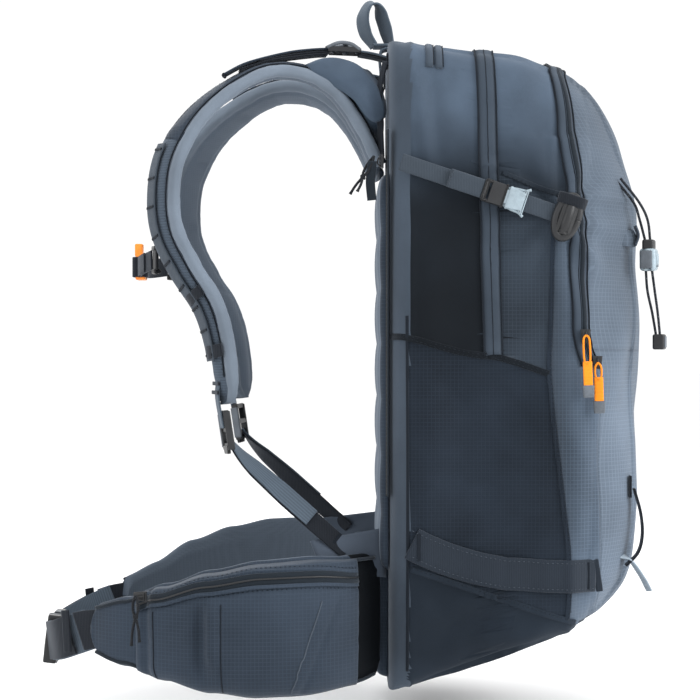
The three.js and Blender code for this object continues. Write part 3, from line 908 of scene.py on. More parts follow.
def bag_levels():
    levels = [-0.985 + 0.985 * k / 12 for k in range(12)]
    for i in range(TOP):
        steps = max(4, round(abs(LEVELS[i + 1][0] - LEVELS[i][0]) / 0.0034))
        levels += [i + k / steps for k in range(steps)]
    return levels + [TOP + 0.985 * k / 26 for k in range(27)]


def bag_points(levels):
    """Points round every level, on the plain shape and on the cloth."""
    shape, cloth = [], []
    for t in levels:
        for angle in ring_angles(t):
            p, normal = snapped(bag_point(t, angle)), normal_at(t, angle)
            shape.append(p)
            cloth.append(p + normal * cloth_move(p, abs(normal.x)))
    return shape, cloth


def bag_faces(levels, shape):
    """The faces of each bag piece, with each face's middle on the plain shape."""
    rounds = 2 * (FRONT_STEPS + BACK_STEPS)
    groups = {name: [] for name in BAG_CLOTHS}
    for r in range(len(levels) - 1):
        for k in range(rounds):
            a, b = r * rounds + k, r * rounds + (k + 1) % rounds
            face = (a, b, b + rounds, a + rounds)
            middle = sum((shape[i] for i in face), Vector()) / 4
            name = "main_compartment"
            if (k < FRONT_STEPS or k >= rounds - FRONT_STEPS) and 0 <= levels[r] < TOP:
                name = "front_flap" if middle.z > 0 else "front_pocket"
            groups[name].append((face, middle))
    foot, crown = range(rounds), range(len(shape) - rounds, len(shape))
    groups["main_compartment"].append((tuple(reversed(foot)), Vector((0, -0.1, -0.3))))
    groups["main_compartment"].append((tuple(crown), Vector((0, -0.1, 0.28))))
    return groups


def bag():
    """Makes the bag's three cloth pieces, and gives its cloth as a tree for the bands that lie on it."""
    levels = bag_levels()
    shape, cloth = bag_points(levels)
    groups = bag_faces(levels, shape)
    for name, rows in groups.items():
        used = sorted({i for face, _ in rows for i in face})
        number = {old: new for new, old in enumerate(used)}
        faces = [tuple(number[i] for i in face) for face, _ in rows]
        cloths = BAG_CLOTHS[name]
        indices = [cloths.index(cloth_of(name, middle)) for _, middle in rows]
        piece = as_object(f"{name}_cloth", [cloth[i] for i in used], faces, cloths, indices)
        thicken(piece, BAG_WALL)
        finish_piece(piece, "front_flap" if name == "front_flap" else "root", "shell", name)
    return BVHTree.FromPolygons(cloth, [face for rows in groups.values() for face, _ in rows])


def cloth_of(name, p):
    """The cloth that a place on a bag piece is cut from."""
    _, y, z = p
    if name != "main_compartment":
        return "bottom" if name == "front_pocket" and z < POCKET_FOOT else "front"
    if y > depth_on(BACK_SEAM, z):
        return "band"
    if z < height_on(BOTTOM_SEAM, y):
        return "bottom"
    if y < depth_on(REAR_SEAM, z) and z < height_on(HEM_SEAM, y):
        return "side"
    if y < -0.101 and height_on(MID_SEAM, y) < z < height_on(HEM_SEAM, y):
        return "side"
    return "upper" if z > height_on(MID_SEAM, y) else "ripstop"


def thicken(piece, thick):
    """Gives an open sheet a wall inside it, applied to its mesh."""
    solid = piece.modifiers.new("wall", "SOLIDIFY")
    solid.thickness = thick
    solid.offset = -1
    apply_modifiers(piece)


def apply_modifiers(piece):
    graph = bpy.context.evaluated_depsgraph_get()
    mesh = bpy.data.meshes.new_from_object(piece.evaluated_get(graph))
    piece.modifiers.clear()
    old = piece.data
    piece.data = mesh
    bpy.data.meshes.remove(old)
    piece.data.polygons.foreach_set("use_smooth", [True] * len(piece.data.polygons))


# ---- bands and zips on the bag ------------------------------------------------------------------


def hug(p, lift=0.0):
    """The nearest place on the bag's cloth, or a little out of it."""
    place, normal, _, _ = CLOTH.find_nearest(Vector(p))
    return place + normal * lift


def on_side(side, y, z, lift=0.0):
    """The place on the bag's cloth beside a depth and height, or a little out of it."""
    place, normal, _, _ = CLOTH.ray_cast(Vector((side * 0.4, y, z)), Vector((-side, 0, 0)))
    if place is None:
        return hug((side * side_at(y, z), y, z), lift)
    return place + normal * lift


def girdle(line, low, step=0.004):
    """Points where a side line runs over the bag, from its left foot to its right foot."""
    right, start = [], level_of(low)
    for k in range(121):
        t = lerp(start, TOP + 0.97, (k / 120) ** 0.8)
        z = level_at(min(t, TOP))[0]
        for _ in range(3):
            found = crossing(t, along_line(line, z))
            if found is None:
                break
            z = bag_point(t, found).z
        if found is None:
            break
        right.append(bag_point(t, found))
    left = [Vector((-p.x, p.y, p.z)) for p in right]
    run = left + right[::-1]
    length = sum((b - a).length for a, b in zip(run, run[1:]))
    return spline(run, max(8, int(length / step)))


def smoothed(ways, rounds=3):
    for _ in range(rounds):
        ends = [ways[0], *ways, ways[-1]]
        ways = [(a + b + c).normalized() for a, b, c in zip(ends, ends[1:], ends[2:])]
    return ways


def outward(points):
    return smoothed([CLOTH.find_nearest(p)[1] for p in points])


def level_of(z):
    """The level whose side is at a height, about half way to the front."""
    low, high = 0.0, float(TOP)
    for _ in range(40):
        middle = (low + high) / 2
        z_back, z_front, _, _ = level_at(middle)
        if (z_back + z_front) / 2 < z:
            low = middle
        else:
            high = middle
    return low


def bag_band(line, low, start, end, lift, thick, material):
    """A band on the bag between two distances ahead of a side line."""
    run = girdle(line, low)
    rings = []
    for p, tangent, normal in zip(run, tangents(run), outward(run)):
        ahead = normal.cross(tangent).normalized()
        if ahead.y > 0:
            ahead = -ahead
        spots = [hug(p + ahead * lerp(start, end, k / 4), lift) for k in range(5)]
        top = [spot + normal * thick * (0.6 if k in (0, 4) else 1) for k, spot in enumerate(spots)]
        rings.append(top + spots[::-1])
    return closed_loft("band", rings, [material])


# The main zip seen from the side, as depth and height.
MAIN_LINE = [(-0.101, -0.330), (-0.101, 0.0), (-0.099, 0.100), (-0.097, 0.200), (-0.095, 0.300)]


MAIN_FOOT, FRONT_FOOT = -0.004, -0.012
# Each zip band: its two edges from the zip's middle, its lift, its thickness and its cloth.
MAIN_BANDS = [
    (-0.0075, 0.0075, 0.0, 0.0026, "welt"),
    (-0.0088, -0.0074, 0.0002, 0.0022, "dark_thread"),
    (0.0074, 0.0088, 0.0002, 0.0022, "dark_thread"),
    (-0.0004, 0.0004, 0.0018, 0.0012, "dark_thread"),
]
FRONT_BANDS = [
    (-0.0080, 0.0080, 0.0, 0.0022, "welt"),
    (-0.0089, -0.0078, 0.0006, 0.0020, "dark_thread"),
    (-0.0005, 0.0006, 0.0006, 0.0020, "dark_thread"),
    (0.0079, 0.0090, 0.0006, 0.0020, "dark_thread"),
    (0.0010, 0.0056, 0.0012, 0.0018, "zip"),
]


def zips():
    main = [bag_band(MAIN_LINE, MAIN_FOOT, *band) for band in MAIN_BANDS]
    finish_piece(joined("main_zip_welt", main), "root", "webbing", "main_zip")
    rear = [(y + 0.008, z) for y, z in FRONT_LINE]
    front = [bag_band(rear, FRONT_FOOT, *band) for band in FRONT_BANDS]
    finish_piece(joined("front_zip_tape", front), "root", "webbing", "front_zip")


def felled_seam(side, line, width, material, stitch_at=(-0.0014, 0.0014)):
    """A narrow overlapped seam along a line of depths and heights on one side, with its stitching."""
    places = [on_side(side, p.x, p.y, 0.0003) for p in spline([(y, z, 0) for y, z in line], 70)]
    ways = outward(places)
    across = [way.cross(t).normalized() for way, t in zip(ways, tangents(places))]
    made = [strip("seam", places, [tuple(way) for way in across], width, 0.0011, material, 120)]
    for shift in stitch_at:
        row = [p + a * shift + w * 0.0005 for p, a, w in zip(places, across, ways)]
        made.append(stitches(row, ways, "dark_thread"))
    return made


HEM_LINE = [(-0.110, 0.1565), (-0.150, 0.140), (-0.172, 0.1365)]
EDGE_LINE = [(-0.0262, -0.285), (-0.0262, -0.100), (-0.0255, 0.030)]


def side_seams():
    made = []
    for _, side in SIDES:
        made += felled_seam(side, MID_SEAM[:-1] + [(-0.150, -0.021)], 0.0060, "upper")
        made += felled_seam(side, HEM_LINE, 0.0050, "upper", (-0.0012,))
        made += felled_seam(side, REAR_SEAM[1:], 0.0046, "ripstop", (0.0012,))
        made += felled_seam(side, BOTTOM_SEAM[1:], 0.0054, "bottom", (0.0012,))
        made += felled_seam(side, EDGE_LINE, 0.0030, "dark_thread", ())
    finish_piece(joined("side_seams", made), "root", "shell")


# ---- zip sliders and pulls ----------------------------------------------------------------------

HIP_ALONG, HIP_OUT = (0.4191, 0.9080, 0.0), (-0.9080, 0.4191, 0.0)

def slider(name, node, body, along, out):
    place = basis(centre(node), along, out)
    arch = [(-0.004, 0, 0.0008), (-0.0025, 0, 0.0024), (0.0012, 0, 0.0025), (0.0036, 0, 0.0009)]
    parts = [
        block("base", (0.0125, 0.0092, 0.0022), "plastic", place @ at(0, 0, -0.0016), 0.0007, taper=0.72),
        block("top", (0.0105, 0.0066, 0.0014), "plastic", place @ at(0, 0, 0.0006), 0.0005, taper=0.8),
        tube("bridge", [place @ Vector(p) for p in arch], 0.0007, "plastic", 8, 14),
    ]
    finish_piece(joined(name, parts), body, "plastic", node)


def strip_pull(name, node, body, side, lean, reach=0.015):
    """A woven orange strip on a short cord loop, ending in a moulded cap."""
    low, high = (Vector(c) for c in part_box(node))
    down = Vector((0, -lean, -1)).normalized()
    start = Vector(((low.x + high.x) / 2 - side * 0.0016, (low.y + high.y) / 2, high.z - 0.001))
    neck = start + down * reach
    parts = []
    for share in (-1, 1):
        bow = Vector((0, share * 0.0026, 0))
        end = neck + Vector((side * 0.001, 0, 0))
        loop = [start, start + down * 0.004 + bow, neck - down * 0.003 + bow, end]
        parts.append(tube("loop", loop, 0.0009, "orange", 8, 16))
    run = [neck - down * 0.002, neck + down * 0.010, neck + down * 0.021]
    parts.append(strip("strip", run, (0, 1, 0), 0.0082, 0.0022, "orange", 22))
    place = basis(neck + down * 0.0245, down, (side, 0, 0))
    parts.append(block("cap", (0.011, 0.0105, 0.0042), "cap", place, 0.0012, taper=0.88, dome=0.0006))
    for along in (-0.002, 0.0005, 0.003):
        parts.append(block("rib", (0.0008, 0.0085, 0.0006), "cap", place @ at(along, 0, 0.0022), 0.0002))
    finish_piece(joined(name, parts), body, "orange", node)


def cord_pull(name, node, body, along, out, knot_at=0.55, spread=0.004, lean=(0, 0, 0)):
    """A doubled thin cord with a knot and two loose ends, hanging from a slider."""
    low, high = (Vector(c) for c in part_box(node))
    top = Vector(((low.x + high.x) / 2, (low.y + high.y) / 2, high.z - 0.0005))
    length = high.z - low.z
    side, out, lean = Vector(along), Vector(out), Vector(lean)
    knot = top - Vector((0, 0, length * knot_at)) + lean * knot_at
    made = []
    for share in (-1, 1):
        bow = side * 0.0024 * share
        run = [top, top.lerp(knot, 0.35) + bow, top.lerp(knot, 0.75) + bow, knot]
        made.append(tube("run", run, 0.0012, "cord", 8, 20))
        drop = length * (1 - knot_at) * (1 if share > 0 else 0.86)
        end = knot - Vector((0, 0, drop)) + side * spread * share + lean * (1 - knot_at)
        tail = [knot, knot.lerp(end, 0.5) + side * 0.001 * share, end]
        made.append(tube("tail", tail, lambda t: 0.0012 + 0.0004 * smooth_step(t, 0.85, 1), "cord", 8, 14))
    for k in range(3):
        middle = knot + Vector((0, 0, 0.0012 * (k - 1)))
        ring = []
        for j in range(15):
            a = 2 * math.pi * j / 14
            wind = side * 0.0017 * math.cos(a) + out * 0.0015 * math.sin(a)
            ring.append(middle + wind + Vector((0, 0, 0.0005 * math.sin(2 * a))))
        made.append(tube("turn", ring, 0.0009, "cord", 8, 22))
    finish_piece(joined(name, made), body, "cord", node)


def fixed_slider():
    """The front zip's lower slider, which stays at the foot of the zip."""
    low, high = (Vector(c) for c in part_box("front_zip_lower_pull"))
    place = basis((high.x + 0.0052, (low.y + high.y) / 2, high.z - 0.001), (0, 0, -1), (-1, 0, 0))
    arch = [(-0.004, 0, 0.001), (-0.002, 0, 0.0034), (0.002, 0, 0.0034), (0.004, 0, 0.001)]
    parts = [
        block("base", (0.0115, 0.0090, 0.0024), "plastic", place, 0.0007, taper=0.75),
        tube("bridge", [place @ Vector(p) for p in arch], 0.0007, "plastic", 8, 14),
    ]
    finish_piece(joined("front_slider_lower", parts), "root", "plastic")


def pulls():
    slider("front_slider", "front_zip_slider", "front_slider", (0, 0, -1), (-1, 0, 0))
    slider("main_slider", "main_zip_slider", "main_slider", (0, 0, -1), (1, 0, 0))
    slider("back_slider", "back_zip_slider", "back_slider", (0, 0, 1), (0, 1, 0))
    slider("hip_slider", "hip_zip_slider", "hip_slider", HIP_ALONG, HIP_OUT)
    strip_pull("front_pull_upper", "front_zip_pull", "front_pull", LEFT, 0.04, 0.025)
    strip_pull("front_pull_lower", "front_zip_lower_pull", "lower_pull", LEFT, 0.03)
    strip_pull("main_pull", "main_zip_pull", "main_pull", RIGHT, 0.05)
    lean = (-0.004, 0.018, 0)
    cord_pull("back_pull", "back_zip_pull", "back_pull", (0.5, 0.8, 0), (0.8, -0.5, 0), lean=lean)
    cord_pull("hip_pull", "hip_zip_pull", "hip_pull", HIP_ALONG, HIP_OUT, 0.42)
    fixed_slider()


# ---- pieces in pairs ----------------------------------------------------------------------------


def both_sides(piece, body, slot, *nodes, padded=None):
    """Finishes a left piece and its mirrored twin. {} stands for the side in body and node names."""
    twin = bpy.data.objects.new(f"{piece.name}_right", piece.data.copy())
    bpy.context.scene.collection.objects.link(twin)
    for vert in twin.data.vertices:
        vert.co.x = -vert.co.x
    twin.data.flip_normals()
    piece.name += "_left"
    pair = (piece, twin)
    for made, (side, _) in zip(pair, SIDES):
        finish_piece(made, body.format(side), slot, *(node.format(side) for node in nodes), padded=padded)
    return pair


# ---- shoulder straps ----------------------------------------------------------------------------

# The strap's middle from the yoke down to its foot, and the way across it at even steps.
STRAP_ROUTE = [
    (-0.060, -0.001, 0.170), (-0.064, 0.015, 0.204), (-0.070, 0.038, 0.236), (-0.076, 0.066, 0.252),
    (-0.083, 0.100, 0.253), (-0.091, 0.136, 0.235), (-0.097, 0.166, 0.208), (-0.102, 0.185, 0.175),
    (-0.105, 0.191, 0.142), (-0.107, 0.188, 0.108), (-0.110, 0.172, 0.074), (-0.113, 0.151, 0.042),
    (-0.115, 0.140, 0.010), (-0.116, 0.135, -0.022), (-0.117, 0.132, -0.048),
]
STRAP_ACROSS = [(-1, 0, 0), (-0.97, 0, -0.14), (-0.92, -0.34, -0.17), (-0.86, -0.50, 0), (-0.95, -0.30, 0)]
STRAP_WIDTH, STRAP_THICK = 0.060, 0.013
STRAP_ROUND, STRAP_FLAT = 0.42, 0.72  # exponents that square the section's width and thickness
RIM_WIDTH = 0.010  # the padded edge beside the cover
COVER_START = 0.50  # where the ribbed cover comes out from under the smooth one
COVER_DOME = 0.0045  # how much more the ribbed cover bulges than the smooth one
STRAP_STEPS = 190
DAISY_FROM, DAISY_TO = 98, 178  # steps of the strap between which the daisy webbing lies
# The hem and two keepers across the cover: step, half width, height, fall, breadth and cloth.
CROSS_BANDS = [
    (94, 0.021, 0.0040, 12, 0.009, "belt"),
    (150, 0.019, COVER_DOME + 0.0034, 18, 0.010, "black_webbing"),
    (171, 0.019, COVER_DOME + 0.0034, 18, 0.012, "black_webbing"),
]


def strap_width(t):
    narrowed = STRAP_WIDTH - 0.014 * smooth_step(t, 0.55, 0.95)
    end = math.sqrt(max(0.08, 1 - (max(0, t - 0.955) / 0.045) ** 2))
    return narrowed * end


def strap_dimple(t, a):
    """Where the padding is sewn through on the inner face."""
    made = 0
    for place in (0.22, 0.36, 0.50, 0.64, 0.78):
        made += math.exp(-(((t - place) / 0.012) ** 2 + (a / 0.006) ** 2))
    return made


def strap_surface(frame_at, turn):
    """A point of the strap's skin, at a turn round its section from its outer edge over the cover."""
    t, point, side, up = frame_at
    width = strap_width(t)
    thick = STRAP_THICK * (1 - 0.35 * smooth_step(t, 0.94, 1))
    a = width / 2 * power(math.cos(turn), STRAP_ROUND)
    b = thick / 2 * power(math.sin(turn), STRAP_FLAT)
    inner = width / 2 - RIM_WIDTH
    groove = math.exp(-(((abs(a) - inner) / 0.0022) ** 2))
    puff = 0.0005 * noise.noise(Vector((a * 60, t * 34, 3.0)))
    puff += 0.0004 * noise.noise(Vector((a * 20, t * 90, 9.0)))
    if b > 0:
        dome = 0.0010 + COVER_DOME * smooth_step(t, 0.44, 0.54)
        b += dome * max(0, 1 - (a / inner) ** 2) - 0.0016 * groove + puff
        b += 0.0010 * smooth_step(COVER_START - t, -0.004, 0.004) * max(0, 1 - (a / inner) ** 4)
    else:
        b -= 0.0018 * max(0, 1 - (a / inner) ** 2) - 0.0014 * groove - 0.0030 * strap_dimple(t, a) + puff
    return point + side * a + up * b


def shoulder_strap():
    steps, corners = STRAP_STEPS, 56
    spans = frames(STRAP_ROUTE, STRAP_ACROSS, steps)
    turns = [2 * math.pi * k / corners for k in range(corners)]
    rings = [[strap_surface(span, turn) for turn in turns] for span in spans]

    def pick(ring, corner):
        turn = turns[corner] + math.pi / corners
        half = strap_width(ring / steps) / 2
        a = abs(half * power(math.cos(turn), STRAP_ROUND))
        if a > half - RIM_WIDTH:
            return 0
        if math.sin(turn) < 0:
            return 1
        return 2 if ring / steps > COVER_START else 3

    body = closed_loft("body", rings, ["rim", "pad", "cover", "belt"], pick)
    parts = [body]
    for share in (-1, 1):
        rows, ways = [], []
        for span in spans[6:-8:2]:
            t, point, side, up = span
            a = share * (strap_width(t) / 2 - RIM_WIDTH - 0.0022)
            rows.append(point + side * a + up * (STRAP_THICK / 2 + 0.0006))
            ways.append(up)
        parts.append(stitches(rows, ways, "thread"))
        seam = [p + (spans[6 + 2 * i][2] * share * 0.0022) - ways[i] * 0.0006 for i, p in enumerate(rows)]
        parts.append(tube("seam", seam, 0.0007, "dark_thread", 6, 120))
    both_sides(joined("strap_pad", parts), "root", "pad", "shoulder_strap_{}", padded=0.8)
    strap_trims(spans)


def strap_trims(spans):
    """The daisy webbing on the cover, its bar tacks, the cover's hem and the keeper under the lifter."""
    lift = STRAP_THICK / 2 + COVER_DOME + 0.0022
    daisy = spans[DAISY_FROM:DAISY_TO:4]
    run = [point + up * lift for _, point, _, up in daisy]
    parts = [strip("daisy", run, [tuple(side) for _, _, side, _ in daisy], 0.020, 0.0016, "webbing", 90)]
    for k in range(DAISY_FROM + 2, DAISY_TO - 2, 9):
        _, point, _, up = spans[k]
        place = basis(point + up * (lift + 0.0012), spans[k + 1][1] - point, up)
        parts.append(block("tack", (0.0022, 0.017, 0.0010), "dark_thread", place, 0.0004))
    for k, half, height, fall, width, cloth in CROSS_BANDS:
        _, point, side, up = spans[k]
        places = (-half, -0.010, 0.0, 0.010, half)
        band = [point + side * a + up * (STRAP_THICK / 2 + height - fall * a * a) for a in places]
        along = (spans[k + 1][1] - point).normalized()
        parts.append(strip("cross_band", band, tuple(along), width, 0.0016, cloth, 24))
    both_sides(joined("strap_webbing", parts), "root", "webbing")


def ladder_lock(name, place, size):
    """Two rails, three bars and a lift tab, with X along the webbing and Z out."""
    length, width, thick = size
    parts = []
    for side in (-1, 1):
        rail = place @ at(0, side * (width / 2 - 0.0018), 0)
        parts.append(block("rail", (length * 0.94, 0.0036, thick), "plastic", rail, 0.0011))
    for share, drop in ((-0.43, 0), (-0.02, -0.1), (0.36, 0)):
        bar = place @ at(length * share, 0, thick * drop)
        parts.append(block("bar", (0.0046, width * 0.9, thick * 0.72), "plastic", bar, 0.0011))
    tab = place @ at(length * 0.46, 0, thick * 0.32)
    parts.append(block("tab", (length * 0.20, width * 0.72, thick * 0.5), "plastic", tab, 0.0009, taper=0.8))
    return joined(name, parts)


def load_lifter_webbing():
    """Three layers from the strap to the lock, and two from the lock to the bag."""
    upper = [
        (-0.0905, 0.1390, 0.2490), (-0.088, 0.118, 0.2598), (-0.082, 0.084, 0.2695),
        (-0.080, 0.062, 0.2728), (-0.078, 0.041, 0.2742),
    ]
    middle = [
        (-0.0870, 0.108, 0.2618), (-0.082, 0.082, 0.2672), (-0.080, 0.058, 0.2704),
        (-0.078, 0.044, 0.2716),
    ]
    under = [
        (-0.0890, 0.125, 0.2535), (-0.0845, 0.096, 0.2625), (-0.080, 0.060, 0.2680),
        (-0.078, 0.046, 0.2690),
    ]
    hem = [(-0.1000, 0.1388, 0.2488), (-0.0905, 0.1396, 0.2490), (-0.0810, 0.1388, 0.2488)]
    parts = [
        strip("upper", upper, (1, 0, 0), 0.020, 0.0016, "belt", 40),
        strip("middle", middle, (1, 0, 0), 0.019, 0.0014, "black_webbing", 40),
        strip("under", under, (1, 0, 0), 0.020, 0.0016, "black_webbing", 40),
        tube("hem", hem, 0.0016, "black_webbing", 8, 12),
    ]
    both_sides(joined("lifter_webbing_front", parts), "root", "webbing", "load_lifter_front_{}")
    rear = [
        (-0.0765, 0.019, 0.2722), (-0.0755, 0.008, 0.2708), (-0.0745, -0.001, 0.2690),
        (-0.074, -0.0095, 0.2665),
    ]
    low = [
        (-0.0765, 0.017, 0.2690), (-0.0755, 0.006, 0.2672), (-0.0745, -0.003, 0.2652),
        (-0.074, -0.0100, 0.2630),
    ]
    patch_place = basis((-0.074, -0.0098, 0.2640), (0, 1, 0), (0, 0, 1))
    parts = [
        strip("rear", rear, (1, 0, 0), 0.020, 0.0018, "hip_webbing", 24),
        strip("rear_low", low, (1, 0, 0), 0.020, 0.0014, "black_webbing", 24),
        block("patch", (0.0030, 0.026, 0.012), "black_webbing", patch_place, 0.0008),
    ]
    both_sides(joined("lifter_webbing_rear", parts), "root", "light_webbing", "load_lifter_rear_{}")


def load_lifter_lock():
    place = basis(centre("load_lifter_lock_left"), (0, 1, 0.04), (0, 0, 1))
    parts = [ladder_lock("lock", place, (0.031, 0.026, 0.0052))]
    for side in (-1, 1):
        arch = ((-0.0145, 0.0), (-0.006, 0.0052), (0.005, 0.0058), (0.0155, 0.0012))
        bow = [place @ Vector((x, side * 0.0118, z)) for x, z in arch]
        parts.append(tube("bow", bow, 0.0017, "cap", 10, 20))
    parts.append(block("grip", (0.0050, 0.0220, 0.0026), "cap", place @ at(-0.001, 0, 0.0062), 0.0010))
    both_sides(joined("lifter_lock_looks", parts), "lifter_lock_{}", "plastic", "load_lifter_lock_{}")


# The yoke wedge seen from the side, as depth and height.
YOKE_PROFILE = [
    (0.066, 0.2590), (0.050, 0.2650), (0.033, 0.2650), (0.014, 0.2575), (-0.003, 0.2385), (-0.0085, 0.2140),
    (0.004, 0.2080), (0.022, 0.2290), (0.045, 0.2440), (0.060, 0.2520),
]
YOKE_HALF, YOKE_LAYERS = 0.0235, 12


def yoke_wedge():
    """The padded wedge behind the top of a shoulder strap, with the tape down its edge."""
    outline = spline([(0, y, z) for y, z in YOKE_PROFILE], 60)
    middle = sum(outline, Vector()) / len(outline)
    rings = []
    for k in range(YOKE_LAYERS + 1):
        u = 2 * k / YOKE_LAYERS - 1
        shrink = 1 - 0.10 * abs(u) ** 3
        ring = []
        for p in outline:
            pulled = middle.lerp(p, shrink)
            pulled.x = -0.0755 - 0.12 * (p.y - 0.03) + u * YOKE_HALF
            pulled.z += (0.003 + 0.29 * u * YOKE_HALF) * smooth_step(0.262 - p.z, 0, 0.012)
            ring.append(pulled)
        rings.append(ring)
    yoke = closed_loft("yoke", rings, ["upper"])
    run = [
        (-0.092, -0.0075, 0.262), (-0.091, -0.002, 0.235), (-0.088, -0.003, 0.200),
        (-0.085, -0.004, 0.176),
    ]
    tape = strip("tape", run, (0.8, 0.6, 0), 0.008, 0.0016, "black_webbing", 30)
    both_sides(joined("yoke_wedge", [yoke, tape]), "root", "upper_cloth")


def adjuster_webbing():
    """The doubled webbing from the strap's foot to the belt, and the gusset it is sewn to."""
    run = [
        (-0.117, 0.134, -0.080), (-0.1175, 0.120, -0.097), (-0.118, 0.092, -0.1225),
        (-0.118, 0.060, -0.151), (-0.1175, 0.027, -0.180),
    ]
    ways = [
        (-1, 0, 0), (-0.80, 0.40, -0.45), (-0.62, 0.52, -0.59), (-0.62, 0.52, -0.59),
        (-0.70, 0.48, -0.53),
    ]
    over = [(x - 0.0016, y - 0.0012, z + 0.0010) for x, y, z in run[:4]]
    place = basis((-0.117, 0.0335, -0.1745), (0, -0.75, -0.66), (-0.8, -0.3, 0.5))
    parts = [
        strip("run", run, ways, 0.020, 0.0018, "black_webbing", 60),
        strip("over", over, ways[:4], 0.019, 0.0014, "hip_webbing", 50),
        block("tack", (0.003, 0.017, 0.0012), "dark_thread", place @ at(-0.006, 0, 0.0014), 0.0004),
    ]
    both_sides(joined("adjuster_looks", parts), "root", "webbing", "adjuster_webbing_{}")
    corners = (
        (-0.1235, 0.060, -0.170), (-0.100, -0.008, -0.160), (-0.104, -0.008, -0.205),
        (-0.132, 0.050, -0.196),
    )
    both_sides(patch("gusset", corners, "gusset", 0.004), "root", "upper_cloth")


def adjuster_lock():
    """The ladder lock at the strap's foot, and the webbing and loops that feed it."""
    place = basis(centre("adjuster_lock_left"), (0, -0.15, -1), (-0.25, 1, -0.15))
    lock = ladder_lock("adjuster_lock_looks", place, (0.037, 0.027, 0.0064))
    # A thin lighter grey plate along one rail: a painted highlight on the lock's rim.
    plate = block("plate", (0.030, 0.0030, 0.0070), "cap", place @ at(0, -0.0136, 0.0002), 0.0009)
    looks = joined("adjuster_lock_looks", [lock, plate])
    both_sides(looks, "adjuster_lock_{}", "plastic", "adjuster_lock_{}")
    feed = [
        (-0.116, 0.1415, -0.020), (-0.1165, 0.1435, -0.040), (-0.117, 0.1405, -0.060),
        (-0.117, 0.1385, -0.070),
    ]
    parts = [strip("feed", feed, (-0.97, -0.2, 0), 0.020, 0.0016, "hip_webbing", 30)]
    for y, z in ((0.1445, -0.030), (0.1452, -0.038)):
        place = basis((-0.1165, y, z), (0, 0, -1), (-0.28, 0.96, 0))
        parts.append(block("loop", (0.0034, 0.024, 0.0016), "black_webbing", place, 0.0006))
    both_sides(joined("adjuster_feed", parts), "root", "webbing")


def patch(name, corners, material, sag, steps=14, thick=0.0018):
    """A sheet of cloth between four corners, sagging in the middle."""
    a, b, c, d = (Vector(p) for p in corners)
    normal = (b - a).cross(d - a).normalized()
    verts, faces = [], []
    for i in range(steps + 1):
        for k in range(steps + 1):
            u, v = i / steps, k / steps
            p = a.lerp(b, u).lerp(d.lerp(c, u), v)
            verts.append(p - normal * sag * 16 * u * (1 - u) * v * (1 - v))
    for i in range(steps):
        for k in range(steps):
            j = i * (steps + 1) + k
            faces.append((j, j + 1, j + steps + 2, j + steps + 1))
    made = as_object(name, verts, faces, [material])
    thicken(made, thick)
    return made


# ---- sternum strap ------------------------------------------------------------------------------


def sternum_buckle():
    middle = centre("sternum_buckle_female")
    low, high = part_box("sternum_buckle_female")
    place = basis(middle, (1, 0, 0), (0, 1, 0))
    length, height, thick = high[0] - low[0], high[2] - low[2], high[1] - low[1]
    whistle = basis((low[0] + 0.008, middle.y + 0.0015, high[2] + 0.004), (1, 0, 0), (0, 1, 0))
    turn = [
        (0.006, 0.0062), (-0.004, 0.0066), (-0.012, 0.0062),
        (-0.0145, 0), (-0.012, -0.0062), (0.004, -0.0064),
    ]
    wrap = [(middle.x + x, middle.y + y, middle.z) for x, y in turn]
    parts = [
        block("core", (length, height, thick), "orange_plastic", place, 0.0016, dome=0.0008),
        block("whistle", (0.013, 0.012, 0.0075), "orange_plastic", whistle, 0.0016),
        block("bar", (0.004, height - 0.002, thick + 0.0008), "plastic", place @ at(0.004, 0, 0), 0.0008),
        strip("wrap", wrap, (0, 0, 1), 0.019, 0.0016, "black_webbing", 50),
    ]
    finish_piece(joined("sternum_female_looks", parts), "sternum", "orange", "sternum_buckle_female")
    low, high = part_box("sternum_buckle_male")
    length, height, thick = high[0] - low[0], high[2] - low[2], high[1] - low[1]
    place = basis((0, middle.y, middle.z), (1, 0, 0), (0, 1, 0))
    grip, tongue = place @ at(high[0] - 0.0054, 0, 0), place @ at(low[0] + length * 0.3, 0, 0)
    parts = [
        block("grip", (0.0105, height * 0.86, thick * 0.96), "plastic", grip, 0.0014, taper=0.86),
        block("tongue", (length * 0.55, height * 0.42, thick * 0.4), "plastic", tongue, 0.0008),
    ]
    finish_piece(joined("sternum_male_looks", parts), "sternum_male", "plastic", "sternum_buckle_male")


def sternum_webbing(side, sign, start):
    """One half's doubled webbing, and the slider that holds it to the shoulder strap."""
    run = [
        (sign * start, 0.2215, 0.078), (sign * 0.046, 0.2172, 0.079),
        (sign * 0.064, 0.2115, 0.0805), (sign * 0.079, 0.2055, 0.082),
    ]
    over = [(x, y + 0.0021, z) for x, y, z in run[:3]]
    web = strip("web", run, (0, 0, 1), 0.0185, 0.0016, "black_webbing", 40)
    second = strip("second", over, (0, 0, 1), 0.018, 0.0014, "black_webbing", 30)
    piece = joined(f"sternum_web_{side}_looks", [web, second])
    finish_piece(piece, "sternum", "webbing", f"sternum_web_{side}")
    if side == "right":
        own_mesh(piece)
    place = basis(centre(f"sternum_slider_{side}"), (0, 0, 1), (sign * 0.37, 0.93, 0))
    parts = [block("plate", (0.026, 0.0095, 0.0034), "plastic", place, 0.0011)]
    for end in (-1, 1):
        hook = place @ at(end * 0.0105, 0, -0.0004)
        parts.append(block("hook", (0.0045, 0.0095, 0.0066), "plastic", hook, 0.0012))
    piece = joined(f"sternum_slider_{side}_looks", parts)
    finish_piece(piece, "sternum", "plastic", f"sternum_slider_{side}")


def sternum_strap():
    sternum_buckle()
    sternum_webbing("left", LEFT, 0.022)
    sternum_webbing("right", RIGHT, 0.0165)


# ---- hip belt -----------------------------------------------------------------------------------

